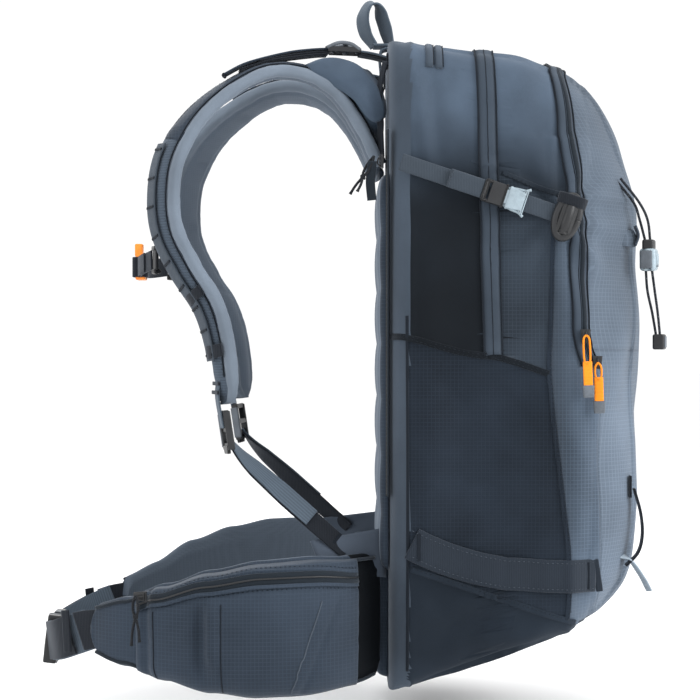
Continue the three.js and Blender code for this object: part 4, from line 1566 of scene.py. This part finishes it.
# The left wing's middle, from the back panel forward, and its height at even steps.
WING_ROUTE = [
    (-0.099, 0.006, -0.238), (-0.130, 0.026, -0.240), (-0.153, 0.064, -0.242), (-0.163, 0.110, -0.244),
    (-0.160, 0.154, -0.246), (-0.146, 0.196, -0.248), (-0.124, 0.232, -0.250), (-0.106, 0.252, -0.250),
]
WING_HEIGHT = [0.112, 0.116, 0.122, 0.120, 0.108, 0.086, 0.062, 0.046]
WING_THICK = 0.020
WING_STEPS = 110
FLARE = 0.011  # how much higher the right wing stands


def listed(values, share):
    k = min(max(share, 0), 1) * (len(values) - 1)
    low = min(int(k), len(values) - 2)
    return lerp(values[low], values[low + 1], smooth_step(k - low))


def wing_frames():
    """Share, point and outward way along the wing."""
    points = spline(WING_ROUTE, WING_STEPS)
    ways = [Vector((0, 0, 1)).cross(t).normalized() for t in tangents(points)]
    return [(i / (WING_STEPS - 1), p, w) for i, (p, w) in enumerate(zip(points, ways))]


def wing_place(share):
    """The wing's outward frame at a share of its length, between two of its steps."""
    k = min(max(share, 0), 1) * (WING_STEPS - 1)
    low = min(int(k), WING_STEPS - 2)
    a, b = WING_SPANS[low], WING_SPANS[low + 1]
    return a[1].lerp(b[1], k - low), a[2].lerp(b[2], k - low).normalized()


WING_SPANS = wing_frames()


def hip_wing():
    corners = 52
    turns = [2 * math.pi * k / corners for k in range(corners)]
    rings = []
    for t, point, out in WING_SPANS:
        end = math.sqrt(max(0.05, 1 - (max(0, t - 0.965) / 0.035) ** 2))
        height = listed(WING_HEIGHT, t) * end
        thick = WING_THICK * (1 - 0.25 * smooth_step(t, 0.85, 1))
        ring = []
        for turn in turns:
            up = height / 2 * power(math.sin(turn), 0.55)
            away = thick / 2 * power(math.cos(turn), 0.7)
            puff = 0.0007 * noise.noise(Vector((t * 12, up * 30, 5.0)))
            puff -= 0.0012 * ridge(abs(up) - height * 0.36, 0.003)
            away += math.copysign(puff, away)
            ring.append(point + Vector((0, 0, up)) + out * away)
        rings.append(ring)

    def pick(ring, corner):
        turn = turns[corner] + math.pi / corners
        # The outer face of the wing's start by the bag gets near-black cloth: painted shade between the wing
        # and the bag.
        if ring / WING_STEPS < POCKET_FROM and math.cos(turn) > 0:
            return 3
        if abs(math.cos(turn)) < 0.16:
            return 2
        return 0 if math.cos(turn) > 0 else 1

    body = closed_loft("wing", rings, ["belt", "belt_inside", "band", "deep"], pick)
    parts = [body]
    for up in (-1, 1):
        line = []
        for t, point, out in WING_SPANS[3:-3]:
            rise = up * (listed(WING_HEIGHT, t) / 2 - 0.004)
            line.append(point + out * (WING_THICK / 2 - 0.002) + Vector((0, 0, rise)))
        parts.append(tube("piping", line, 0.0016, "zip", 8, 120))
    pair = both_sides(joined("wing_pad", parts), "root", "pad", "hip_wing_{}", padded=0.8)
    for vert in pair[1].data.vertices:
        middle = smooth_step(vert.co.y, 0.02, 0.09) * smooth_step(0.250 - vert.co.y, 0, 0.07)
        vert.co.z += FLARE * middle


POCKET_FROM, POCKET_TO = 0.9 / 7, 5.6 / 7
POCKET_SEAMS = (0.195, 0.136)  # how far ahead of the back two upright seams stand


def pocket_height(t):
    return listed(WING_HEIGHT, lerp(POCKET_FROM, POCKET_TO, t)) - 0.004


def pocket_folds(y, v, t):
    """How far the pocket's cloth stands out or in: two soft folds, its seams and the slack by its zip."""
    out = 0.0066 * ridge(y - 0.1395, 0.006) * smooth_step(0.75 - abs(v), 0, 0.5)
    out -= 0.0062 * ridge(y - 0.1475, 0.005) * smooth_step(0.8 - abs(v + 0.1), 0, 0.5)
    out -= 0.0045 * ridge(y - 0.195, 0.004)
    out -= 0.0018 * ridge(y - slant_depth(v), 0.0022) * smooth_step(0.5 - v, 0, 0.2)
    return out - 0.0016 * ridge(v - zip_height(t) + 0.16, 0.03)


def slant_depth(v):
    """How far ahead of the back the pocket's slanted seam runs, at a height."""
    return 0.044 + (0.55 - v) * 0.020


def pocket_point(t, v, lift=0.0):
    """A point of the pocket's outer cloth: t runs forward, v from its foot, -1, to its top, 1."""
    middle, out = wing_place(lerp(POCKET_FROM, POCKET_TO, t))
    full = 0.003 + 0.022 * math.sin(math.pi * min(max(t, 0), 1)) ** 0.6
    puff = full * max(0, 1 - abs(v) ** 5) ** 0.55
    y = middle.y
    crease = 0.0022 * noise.noise(Vector((y * 22, v * 1.4, 2.0)))
    crease += 0.0012 * noise.noise(Vector((y * 60 + v * 3, v * 5, 7.0)))
    away = WING_THICK / 2 + puff + pocket_folds(y, v, t) + crease * (1 - v * v) + lift
    return middle + out * away + Vector((0, 0, v * pocket_height(t) / 2)), out


def zip_height(t):
    return 0.66 + 0.15 * math.sin(math.pi * (0.1 + 0.8 * t))


def pocket_body(steps=96, rows=40):
    rings = []
    for i in range(steps + 1):
        t = i / steps
        outer = [pocket_point(t, -1 + 2 * k / rows)[0] for k in range(rows + 1)]
        middle, out = wing_place(lerp(POCKET_FROM, POCKET_TO, t))
        inner = middle + out * (WING_THICK / 2 - 0.002)
        back = [inner + Vector((0, 0, v * pocket_height(t) / 2.1)) for v in (0.9, 0, -0.9)]
        rings.append(outer + back)
    return closed_loft("pocket", rings, ["belt"])


def pocket_zip(spread):
    """The pocket's zip: a tape, a hood above and below with its stitching, and the coil."""

    def along(shift, lift):
        return [pocket_point(t, zip_height(t) + shift, lift)[0] for t in spread]

    ways = [pocket_point(t, zip_height(t))[1] for t in spread]
    ups = [tuple((Vector((0, 0, 1)) + way * -0.25).normalized()) for way in ways]
    parts = [strip("tape", along(0, 0.0006), ups, 0.0105, 0.0014, "zip", 110)]
    for shift in (-0.11, 0.10):
        parts.append(strip("hood", along(shift, 0.0009), ups, 0.0034, 0.0013, "belt", 110))
        parts.append(stitches(along(shift * 1.5, 0.0004), ways, "dark_thread"))
    parts.append(tube("coil", along(0, 0.0016), 0.0009, "plastic", 6, 150))
    return parts


def pocket_seams(spread):
    """Two upright seams and a slanted one."""
    parts = []
    for y in POCKET_SEAMS:
        t = min(spread, key=lambda s: abs(pocket_point(s, 0)[0].y - y))
        line = [pocket_point(t, v / 20, 0.0002)[0] for v in range(-19, 11)]
        parts.append(tube("seam", line, 0.0006, "dark_thread", 6, 60))
    slant = []
    for k in range(24):
        v = 0.42 - 1.34 * k / 23
        want = slant_depth(v) + 0.002
        t = min([s / 200 for s in range(201)], key=lambda s: abs(pocket_point(s, v)[0].y - want))
        slant.append(pocket_point(t, v, 0.0002)[0])
    parts.append(tube("seam", slant, 0.0007, "thread", 6, 60))
    return parts


def hip_pocket():
    spread = [0.02 + 0.96 * i / 60 for i in range(61)]
    piece = joined("hip_pocket_cloth", [pocket_body(), *pocket_zip(spread), *pocket_seams(spread)])
    finish_piece(piece, "root", "upper_cloth", "hip_pocket", padded=0.6)


def hip_buckle():
    low, high = (Vector(c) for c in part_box("hip_buckle_female"))
    length, middle = high.x - low.x, (low + high) / 2
    lean = basis(middle, (1, 0, 0), (0, 1, 0.12))
    house, bar = lean @ at(-0.003, 0, 0), lean @ at(length / 2 - 0.0028, 0, 0)
    lip = lean @ at(-length / 2 + 0.0022, 0, 0)
    parts = [
        block("house", (length * 0.80, 0.044, 0.0125), "plastic", house, 0.0022, dome=0.0012, taper=0.94),
        block("bar", (0.0055, 0.045, 0.008), "plastic", bar, 0.0016),
        block("lip", (0.0040, 0.0445, 0.0135), "cap", lip, 0.0012),
    ]
    for side in (-1, 1):
        rail, window = lean @ at(length * 0.38, side * 0.0205, 0), lean @ at(-0.001, side * 0.0222, 0)
        parts.append(block("rail", (0.012, 0.0042, 0.0090), "plastic", rail, 0.0012))
        parts.append(block("window", (0.013, 0.0020, 0.0072), "cap", window, 0.0006))
    finish_piece(joined("hip_female_looks", parts), "root", "plastic", "hip_buckle_female")
    low, high = (Vector(c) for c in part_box("hip_buckle_male"))
    lean = basis((0, middle.y, middle.z), (1, 0, 0), (0, 1, 0.12))
    grip, tongue = lean @ at(low.x + 0.008, 0, 0), lean @ at((low.x + high.x) / 2 + 0.006, 0, 0)
    parts = [
        block("grip", (0.0155, 0.0455, 0.0125), "plastic", grip, 0.0020, dome=0.0008),
        block("band", (0.0046, 0.0462, 0.0132), "cap", lean @ at(low.x + 0.0105, 0, 0), 0.0012),
        block("tongue", (high.x - low.x - 0.020, 0.012, 0.0052), "plastic", tongue, 0.0012),
    ]
    finish_piece(joined("hip_male_looks", parts), "hip_male", "plastic", "hip_buckle_male")


def hip_webbing(side, sign, start):
    """One side's doubled webbing, and the keeper and stub where it leaves the wing."""
    run = [
        (sign * start, 0.306, -0.2735), (sign * 0.062, 0.2925, -0.2665),
        (sign * 0.084, 0.276, -0.2590), (sign * 0.100, 0.2585, -0.2515),
    ]
    ways = [(0, 0.10, 1), (0, 0.16, 0.98), (sign * 0.1, 0.2, 0.97), (sign * 0.1, 0.2, 0.97)]
    over = [(x * 1.02, y + 0.0026, z) for x, y, z in run[:3]]
    parts = [
        strip("web", run, ways, 0.037, 0.0018, "hip_webbing", 60),
        strip("over", over, ways[:3], 0.036, 0.0016, "black_webbing", 40),
    ]
    piece = joined(f"hip_web_{side}_looks", parts)
    finish_piece(piece, "root", "light_webbing", f"hip_web_{side}")
    if side == "left":
        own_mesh(piece)
    along = (-sign * 0.62, 0.77, -0.1)
    place = basis((sign * 0.0965, 0.2665, -0.2535), along, (sign * 0.77, 0.62, 0))
    stub_run = [
        (sign * 0.0930, 0.2705, -0.2550),
        (sign * 0.1010, 0.2595, -0.2520),
        (sign * 0.1120, 0.2430, -0.2500),
    ]
    stub = strip("stub", stub_run, (sign * 0.1, 0.2, 0.97), 0.036, 0.0018, "black_webbing", 24)
    keeper = [place @ Vector((0.016, v, 0.0046)) for v in (-0.019, 0.0, 0.019)]
    loop = strip("keeper", keeper, along, 0.010, 0.0018, "black_webbing", 20)
    finish_piece(joined(f"hip_keeper_{side}", [loop, stub]), "root", "webbing")


def hip_belt():
    hip_wing()
    hip_pocket()
    hip_buckle()
    hip_webbing("left", LEFT, 0.0165)
    hip_webbing("right", RIGHT, 0.0385)


# ---- side straps --------------------------------------------------------------------------------

SIDE_START = (-0.022, 0.165)  # depth and height of the compression strap's rear end
SIDE_ALONG = (0, -0.948, -0.319)
SIDE_ACROSS = (0, -0.319, 0.948)


def side_strap_point(distance, lift):
    y = SIDE_START[0] + SIDE_ALONG[1] * distance
    z = SIDE_START[1] + SIDE_ALONG[2] * distance
    cloth = -on_side(LEFT, y, z).x
    return Vector((-max(side_at(y, z) + lift, cloth + 0.0014), y, z))


def side_run(low, high, lift, steps=8):
    return [side_strap_point(lerp(low, high, k / steps), lift) for k in range(steps + 1)]


def compression_webbing():
    hem = basis(side_strap_point(0.0435, 0.0086), SIDE_ALONG, (-1, 0, 0))
    rear = [
        strip("rear", side_run(-0.002, 0.078, 0.0048), SIDE_ACROSS, 0.0152, 0.0018, "webbing", 60),
        strip("fold", side_run(0.043, 0.0735, 0.0084), SIDE_ACROSS, 0.0168, 0.0026, "webbing", 30),
        block("hem", (0.0026, 0.0165, 0.0034), "webbing", hem, 0.0009),
    ]
    both_sides(joined("compression_rear_looks", rear), "root", "webbing", "compression_rear_{}")
    run = side_run(0.1095, 0.140, 0.0072)
    front = strip("compression_front_looks", run, SIDE_ACROSS, 0.0152, 0.0020, "webbing", 30)
    pair = both_sides(front, "root", "webbing", "compression_front_{}")
    for piece, (side, _) in zip(pair, SIDES):
        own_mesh(piece)


def compression_buckle():
    place = basis(centre("compression_buckle_female_left"), SIDE_ALONG, (-1, 0, 0))
    female = [
        block("house", (0.0135, 0.0200, 0.0078), "plastic", place @ at(0.0020, 0, 0), 0.0016, dome=0.0006),
        block("bar", (0.0046, 0.0195, 0.0060), "plastic", place @ at(-0.0088, 0, 0), 0.0014),
        block("lip", (0.0022, 0.0215, 0.0086), "plastic", place @ at(0.0086, 0, 0), 0.0009),
    ]
    for side in (-1, 1):
        rail = place @ at(-0.0055, side * 0.0088, 0)
        female.append(block("rail", (0.0090, 0.0028, 0.0066), "plastic", rail, 0.0010))
    female = joined("compression_female_looks", female)
    both_sides(female, "root", "plastic", "compression_buckle_female_{}")
    place = basis(side_strap_point(0.1040, 0.0) - Vector((0.0075, 0, 0)), SIDE_ALONG, (-1, 0, 0))
    male = [
        block("grip", (0.0155, 0.0205, 0.0074), "silver", place, 0.0018, taper=0.80, dome=0.0010),
        block("nose", (0.0080, 0.0130, 0.0050), "silver", place @ at(-0.0088, 0, 0.0004), 0.0012),
        block("bar", (0.0042, 0.0225, 0.0062), "silver", place @ at(0.0072, 0, 0), 0.0014),
    ]
    for side in (-1, 1):
        outline = ((-0.009, 0.0075), (-0.002, 0.0092), (0.006, 0.0100), (0.0105, 0.0125))
        horn = [place @ Vector((x, side * w, 0.0006)) for x, w in outline]
        male.append(tube("horn", horn, 0.0013, "silver", 8, 16))
    male = joined("compression_male_looks", male)
    both_sides(male, "compression_male_{}", "grey", "compression_buckle_male_{}")


def compression_roll():
    """The strap's tail, rolled up in an elastic keeper."""
    place = basis(centre("compression_roll_left"), SIDE_ALONG, (-1, 0, 0))
    turns = [2 * math.pi * k / 28 for k in range(29)]
    ring = [place @ Vector((0.0095 * math.cos(a), 0.0190 * math.sin(a), 0.0010)) for a in turns]
    arch = ((-0.0125, 0.0005), (-0.008, 0.0046), (0, 0.0056), (0.008, 0.0046), (0.0125, 0.0005))
    elastic = [place @ Vector((x, 0.0150, z)) for x, z in arch]
    tail = place @ at(0.0005, 0, 0.0002)
    roll = [
        tube("ring", ring, 0.0036, "plastic", 12, 60),
        block("tail", (0.0165, 0.0340, 0.0095), "plastic", tail, 0.0046, 4, dome=0.0036),
        strip("elastic", elastic, SIDE_ACROSS, 0.0100, 0.0024, "black_webbing", 20),
    ]
    both_sides(joined("compression_roll_looks", roll), "root", "webbing", "compression_roll_{}")


# The ski band's middle, as depth and height.
SKI_ROUTE = [(-0.0295, -0.170), (-0.060, -0.184), (-0.100, -0.195), (-0.145, -0.199), (-0.192, -0.2)]


def ski_band():
    run = [on_side(LEFT, p.x, p.y, 0.0022) for p in spline([(y, z, 0) for y, z in SKI_ROUTE], 24)]
    parts = [strip("band", run, (0, 0, 1), 0.029, 0.0020, "ski", 80, crown=0.0004)]
    for shift in (-0.0115, 0.0115):
        parts.append(stitches([p + Vector((-0.0012, 0, shift)) for p in run], (-1, 0, 0), "thread"))
    for k, depth in ((1, 0.0030), (-2, 0.0034)):
        place = basis(run[k] + Vector((-0.0014, 0, 0)), (0, -1, 0), (-1, 0, 0))
        parts.append(block("tack", (depth, 0.024, 0.0010), "dark_thread", place, 0.0004))
    fold = basis(run[-1] + Vector((0.0004, -0.002, 0)), (0, -1, 0.15), (-1, -0.2, 0))
    parts.append(block("fold", (0.0060, 0.0290, 0.0034), "ski", fold, 0.0012))
    both_sides(joined("ski_band_looks", parts), "root", "webbing", "ski_band_{}")


# ---- top, front and back trims ------------------------------------------------------------------


def haul_loop():
    run = [
        (0, 0.002, 0.2885), (0, 0.010, 0.301), (0, 0.0125, 0.3155), (0, 0.0070, 0.3280),
        (0, -0.0010, 0.3265), (0, -0.0070, 0.311), (0, -0.0135, 0.2885),
    ]
    low, high = (Vector(c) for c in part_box("haul_loop"))
    foot = basis(((low.x + high.x) / 2, -0.006, 0.2882), (0, 1, 0), (0, 0, 1))
    end, run_way, crown = (0.93, 0.3, 0), (0.85, 0.5, 0), (0.93, 0.2, 0.3)
    ways = [end, run_way, run_way, crown, run_way, run_way, end]
    parts = [
        strip("loop", run, ways, 0.0215, 0.0026, "hip_webbing", 90),
        block("foot", (0.0180, 0.0240, 0.0030), "hip_webbing", foot, 0.0010),
        block("tack_a", (0.0020, 0.0200, 0.0010), "thread", foot @ at(0.0060, 0, 0.0020), 0.0004),
        block("tack_b", (0.0020, 0.0200, 0.0010), "thread", foot @ at(-0.0070, 0, 0.0020), 0.0004),
    ]
    finish_piece(joined("haul_loop_looks", parts), "haul_loop", "webbing", "haul_loop")


def top_tapes():
    """Two narrow tapes over the top, and the folded webbing that the haul loop is sewn to."""
    parts = []
    for depth in (-0.0465, -0.0548):
        line = [(depth, -0.33), (depth, 0.30)]
        parts.append(bag_band(line, 0.242, -0.0032, 0.0032, 0.0, 0.0020, "band"))
        parts.append(bag_band(line, 0.244, 0.0032, 0.0040, 0.0002, 0.0016, "dark_thread"))
    anchor = [
        (0, -0.034, 0.2850), (0, -0.020, 0.2852), (0, -0.0075, 0.2848),
        (0, -0.0035, 0.2790), (0, -0.0045, 0.2620),
    ]
    parts.append(strip("anchor", anchor, (1, 0, 0), 0.0235, 0.0022, "hip_webbing", 40))
    finish_piece(joined("top_tapes", parts), "root", "webbing")


def pad_point(u, v, half, bottom, top, front, rows):
    """A point of a quilted pad: u runs across and v up, both from -1 to 1."""
    u, v = power(math.sin(u * math.pi / 2), 0.8), power(math.sin(v * math.pi / 2), 0.8)
    round_u = math.sqrt(max(0, 1 - max(0, (abs(v) - 0.90) / 0.10) ** 2 * 0.55))
    x, z = u * half * lerp(1, round_u, 0.16), lerp(bottom, top, (v + 1) / 2)
    edge = (max(0, 1 - u**8) * max(0, 1 - v ** (8 + 4 * rows))) ** 0.33
    pods = math.sin((v + 1) / 2 * rows * math.pi) ** 2 if rows > 1 else 1
    fall = 0.0022 * (1 - pods ** 0.35) + 0.0050 * ridge(x, 0.010) + 0.0016 * ridge(abs(u) - 0.86, 0.03)
    return (x, lerp(BAG_BACK + 0.0002, front - fall * edge, edge), z)


def quilted_pad(name, half, bottom, top, front, rows):
    """A foam pad with rows of pods beside a channel, in a bound rim."""
    across, up = 72, 24 + 12 * rows
    verts, faces, indices = [], [], []
    for i in range(up + 1):
        for k in range(across + 1):
            verts.append(pad_point(2 * k / across - 1, 2 * i / up - 1, half, bottom, top, front, rows))
    for i in range(up):
        for k in range(across):
            j = i * (across + 1) + k
            faces.append((j, j + across + 1, j + across + 2, j + 1))
            u = 2 * (k + 0.5) / across - 1
            indices.append(1 if abs(math.sin(u * math.pi / 2)) > 0.93 else 0)
    rim = list(range(across + 1))
    rim += [i * (across + 1) + across for i in range(1, up + 1)]
    rim += [up * (across + 1) + k for k in range(across - 1, -1, -1)]
    rim += [i * (across + 1) for i in range(up - 1, 0, -1)]
    faces.append(tuple(rim))
    indices.append(0)
    piece = as_object(name, verts, faces, ["pad", "belt"], indices)
    fix_normals(piece)
    finish_piece(piece, "root", "pad", "back_panel", padded=0.7)


def back_panel():
    low, high = (Vector(c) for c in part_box("back_panel"))
    quilted_pad("back_pad", 0.118, -0.196, 0.158, 0.0006, 7)
    quilted_pad("lumbar_pad", 0.090, low.z, -0.200, high.y, 1)


def back_zip():
    """The long side zip beside the back panel, closed, with its turned-in top end."""
    run = [
        (-0.1265, -0.0092, 0.196), (-0.1265, -0.0092, 0.120), (-0.1265, -0.0092, 0.0),
        (-0.1265, -0.0092, -0.130),
    ]
    parts = [strip("tape", run, (1, 0, 0), 0.0125, 0.0016, "zip", 90)]
    parts.append(tube("coil", [(x, y + 0.0010, z) for x, y, z in run], 0.0010, "plastic", 6, 160))
    for shift in (-0.0048, 0.0048):
        parts.append(stitches([(x + shift, y + 0.0008, z) for x, y, z in run], (0, 1, 0), "thread"))
    finish_piece(joined("back_zip_tape", parts), "root", "webbing")
    end = [(-0.1290, 0.0048, 0.168), (-0.1295, 0.0066, 0.150), (-0.1290, 0.0052, 0.133)]
    finish_piece(strip("back_zip_end", end, (0.2, 0.98, 0), 0.0085, 0.0018, "zip", 24), "root", "webbing")


LASH_X, LASH_Y = -0.086, -0.231
LASH_OUT = (-0.35, -0.94, 0)  # the way the cord's lock and end face
CORD_THICK = 0.0024


def lash_strand(part, share, route):
    """One of the cord's two strands: above the lock, or from the lock to the moulded end."""
    path = spline(route, 40)
    piece = tube(f"lash_{part}_{'inner' if share < 0 else 'outer'}", route, CORD_THICK / 2, "lash", 12, 40)
    finish_piece(piece, "front_flap", "cord", f"lash_cord_{part}")
    length = sum((b - a).length for a, b in zip(path, path[1:]))
    start = tuple(path[0])


def lash_tab():
    """The cloth tab that holds the cord's upper part against the flap."""
    x, y = LASH_X, LASH_Y
    tab = [
        (x - 0.0105, y + 0.021, 0.103), (x - 0.007, y + 0.009, 0.102),
        (x, y - 0.0010, 0.101), (x + 0.004, y - 0.0030, 0.104),
    ]
    eye = [(x, y - 0.0035, 0.113), (x, y - 0.0062, 0.104), (x, y - 0.0035, 0.095)]
    parts = [
        strip("tab", tab, (0, 0.15, 1), 0.0155, 0.0030, "front", 30, crown=0.0008),
        strip("eye", eye, (1, 0, 0), 0.013, 0.0018, "gusset", 20),
    ]
    finish_piece(joined("lash_tab_cloth", parts), "front_flap", "upper_cloth", "lash_tab")


def cord_lock():
    place = basis(centre("cord_lock_body"), (0, 0, -1), LASH_OUT)
    lock = [
        block("shell", (0.0205, 0.0170, 0.0150), "silver", place, 0.0042, 5, dome=0.0014, taper=0.90),
        block("cheek_a", (0.0165, 0.0030, 0.0110), "cap", place @ at(0, 0.0078, -0.0008), 0.0014),
        block("cheek_b", (0.0165, 0.0030, 0.0110), "cap", place @ at(0, -0.0078, -0.0008), 0.0014),
        block("spot", (0.0050, 0.0050, 0.0010), "cap", place @ at(0.0040, 0, 0.0080), 0.0004),
    ]
    finish_piece(joined("cord_lock_looks", lock), "cord_lock", "grey", "cord_lock_body")
    place = basis(centre("cord_lock_button"), (0, 0, -1), LASH_OUT)
    button = block("cord_lock_button_looks", (0.0100, 0.0125, 0.0105), "plastic", place, 0.0024, 4)
    finish_piece(button, "lock_button", "plastic", "cord_lock_button")


def cord_end():
    place = basis(centre("cord_end"), (0, 0, -1), LASH_OUT)
    end = [
        block("end", (0.0140, 0.0112, 0.0108), "plastic", place, 0.0022, 4),
        block("seat", (0.0100, 0.0078, 0.0010), "cap", place @ at(0, 0, 0.0056), 0.0006),
    ]
    return finish_piece(joined("cord_end_looks", end), "front_flap", "plastic", "cord_end")


def lash_cord(end):
    """Two strands from the flap to the lock, and two from the lock to the moulded end."""
    x, y = LASH_X, LASH_Y
    upper = [
        hug((x - 0.010, y + 0.012, 0.156), 0.0008), (x - 0.004, y - 0.0040, 0.134),
        (x - 0.002, y - 0.0110, 0.118), (x, y - 0.0150, 0.0990),
    ]
    lower = [(x, y - 0.0160, 0.0730), (x, y - 0.0180, 0.054), (x, y - 0.0215, 0.034), (x, y - 0.0245, 0.0120)]
    parts = (("upper", upper, (1.0, 0.9, 1.3, 0.8)), ("lower", lower, (1.0, 1.2, 0.9, 0.6)))
    for share in (-1, 1):
        for part, route, bows in parts:
            apart = [Vector((share * 0.0012, share * 0.0026 * bow, 0)) for bow in bows]
            lash_strand(part, share, [Vector(p) + a for p, a in zip(route, apart)])


def tool_loop():
    """The webbing loop low on the front pocket, with its light tab."""
    x, y = LASH_X, LASH_Y
    run = [
        (x, y - 0.0025, -0.126), (x, y - 0.0085, -0.148), (x, y - 0.0100, -0.168),
        (x, y - 0.0060, -0.184), (x, y + 0.0050, -0.196),
    ]
    tab = [(x, y + 0.012, -0.186), (x, y + 0.002, -0.190), (x, y - 0.009, -0.205), (x, y - 0.0165, -0.219)]
    place = basis((x, y + 0.0012, -0.124), (0, 0, 1), (0, -1, 0))
    parts = [
        strip("loop", run, (1, 0, 0), 0.012, 0.0018, "black_webbing", 60),
        strip("tab", tab, (0.8, 0.45, 0.35), 0.012, 0.0018, "light_webbing", 40),
        block("patch", (0.020, 0.016, 0.0016), "black_webbing", place, 0.0006),
    ]
    finish_piece(joined("axe_loop_looks", parts), "root", "webbing", "axe_loop")


camera()
studio()
CLOTH = bag()
zips()
side_seams()
pulls()
shoulder_strap()
load_lifter_webbing()
load_lifter_lock()
yoke_wedge()
adjuster_webbing()
adjuster_lock()
sternum_strap()
hip_belt()
compression_webbing()
compression_buckle()
compression_roll()
ski_band()
haul_loop()
top_tapes()
back_panel()
back_zip()
lash_tab()
cord_lock()
lash_cord(cord_end())
tool_loop()
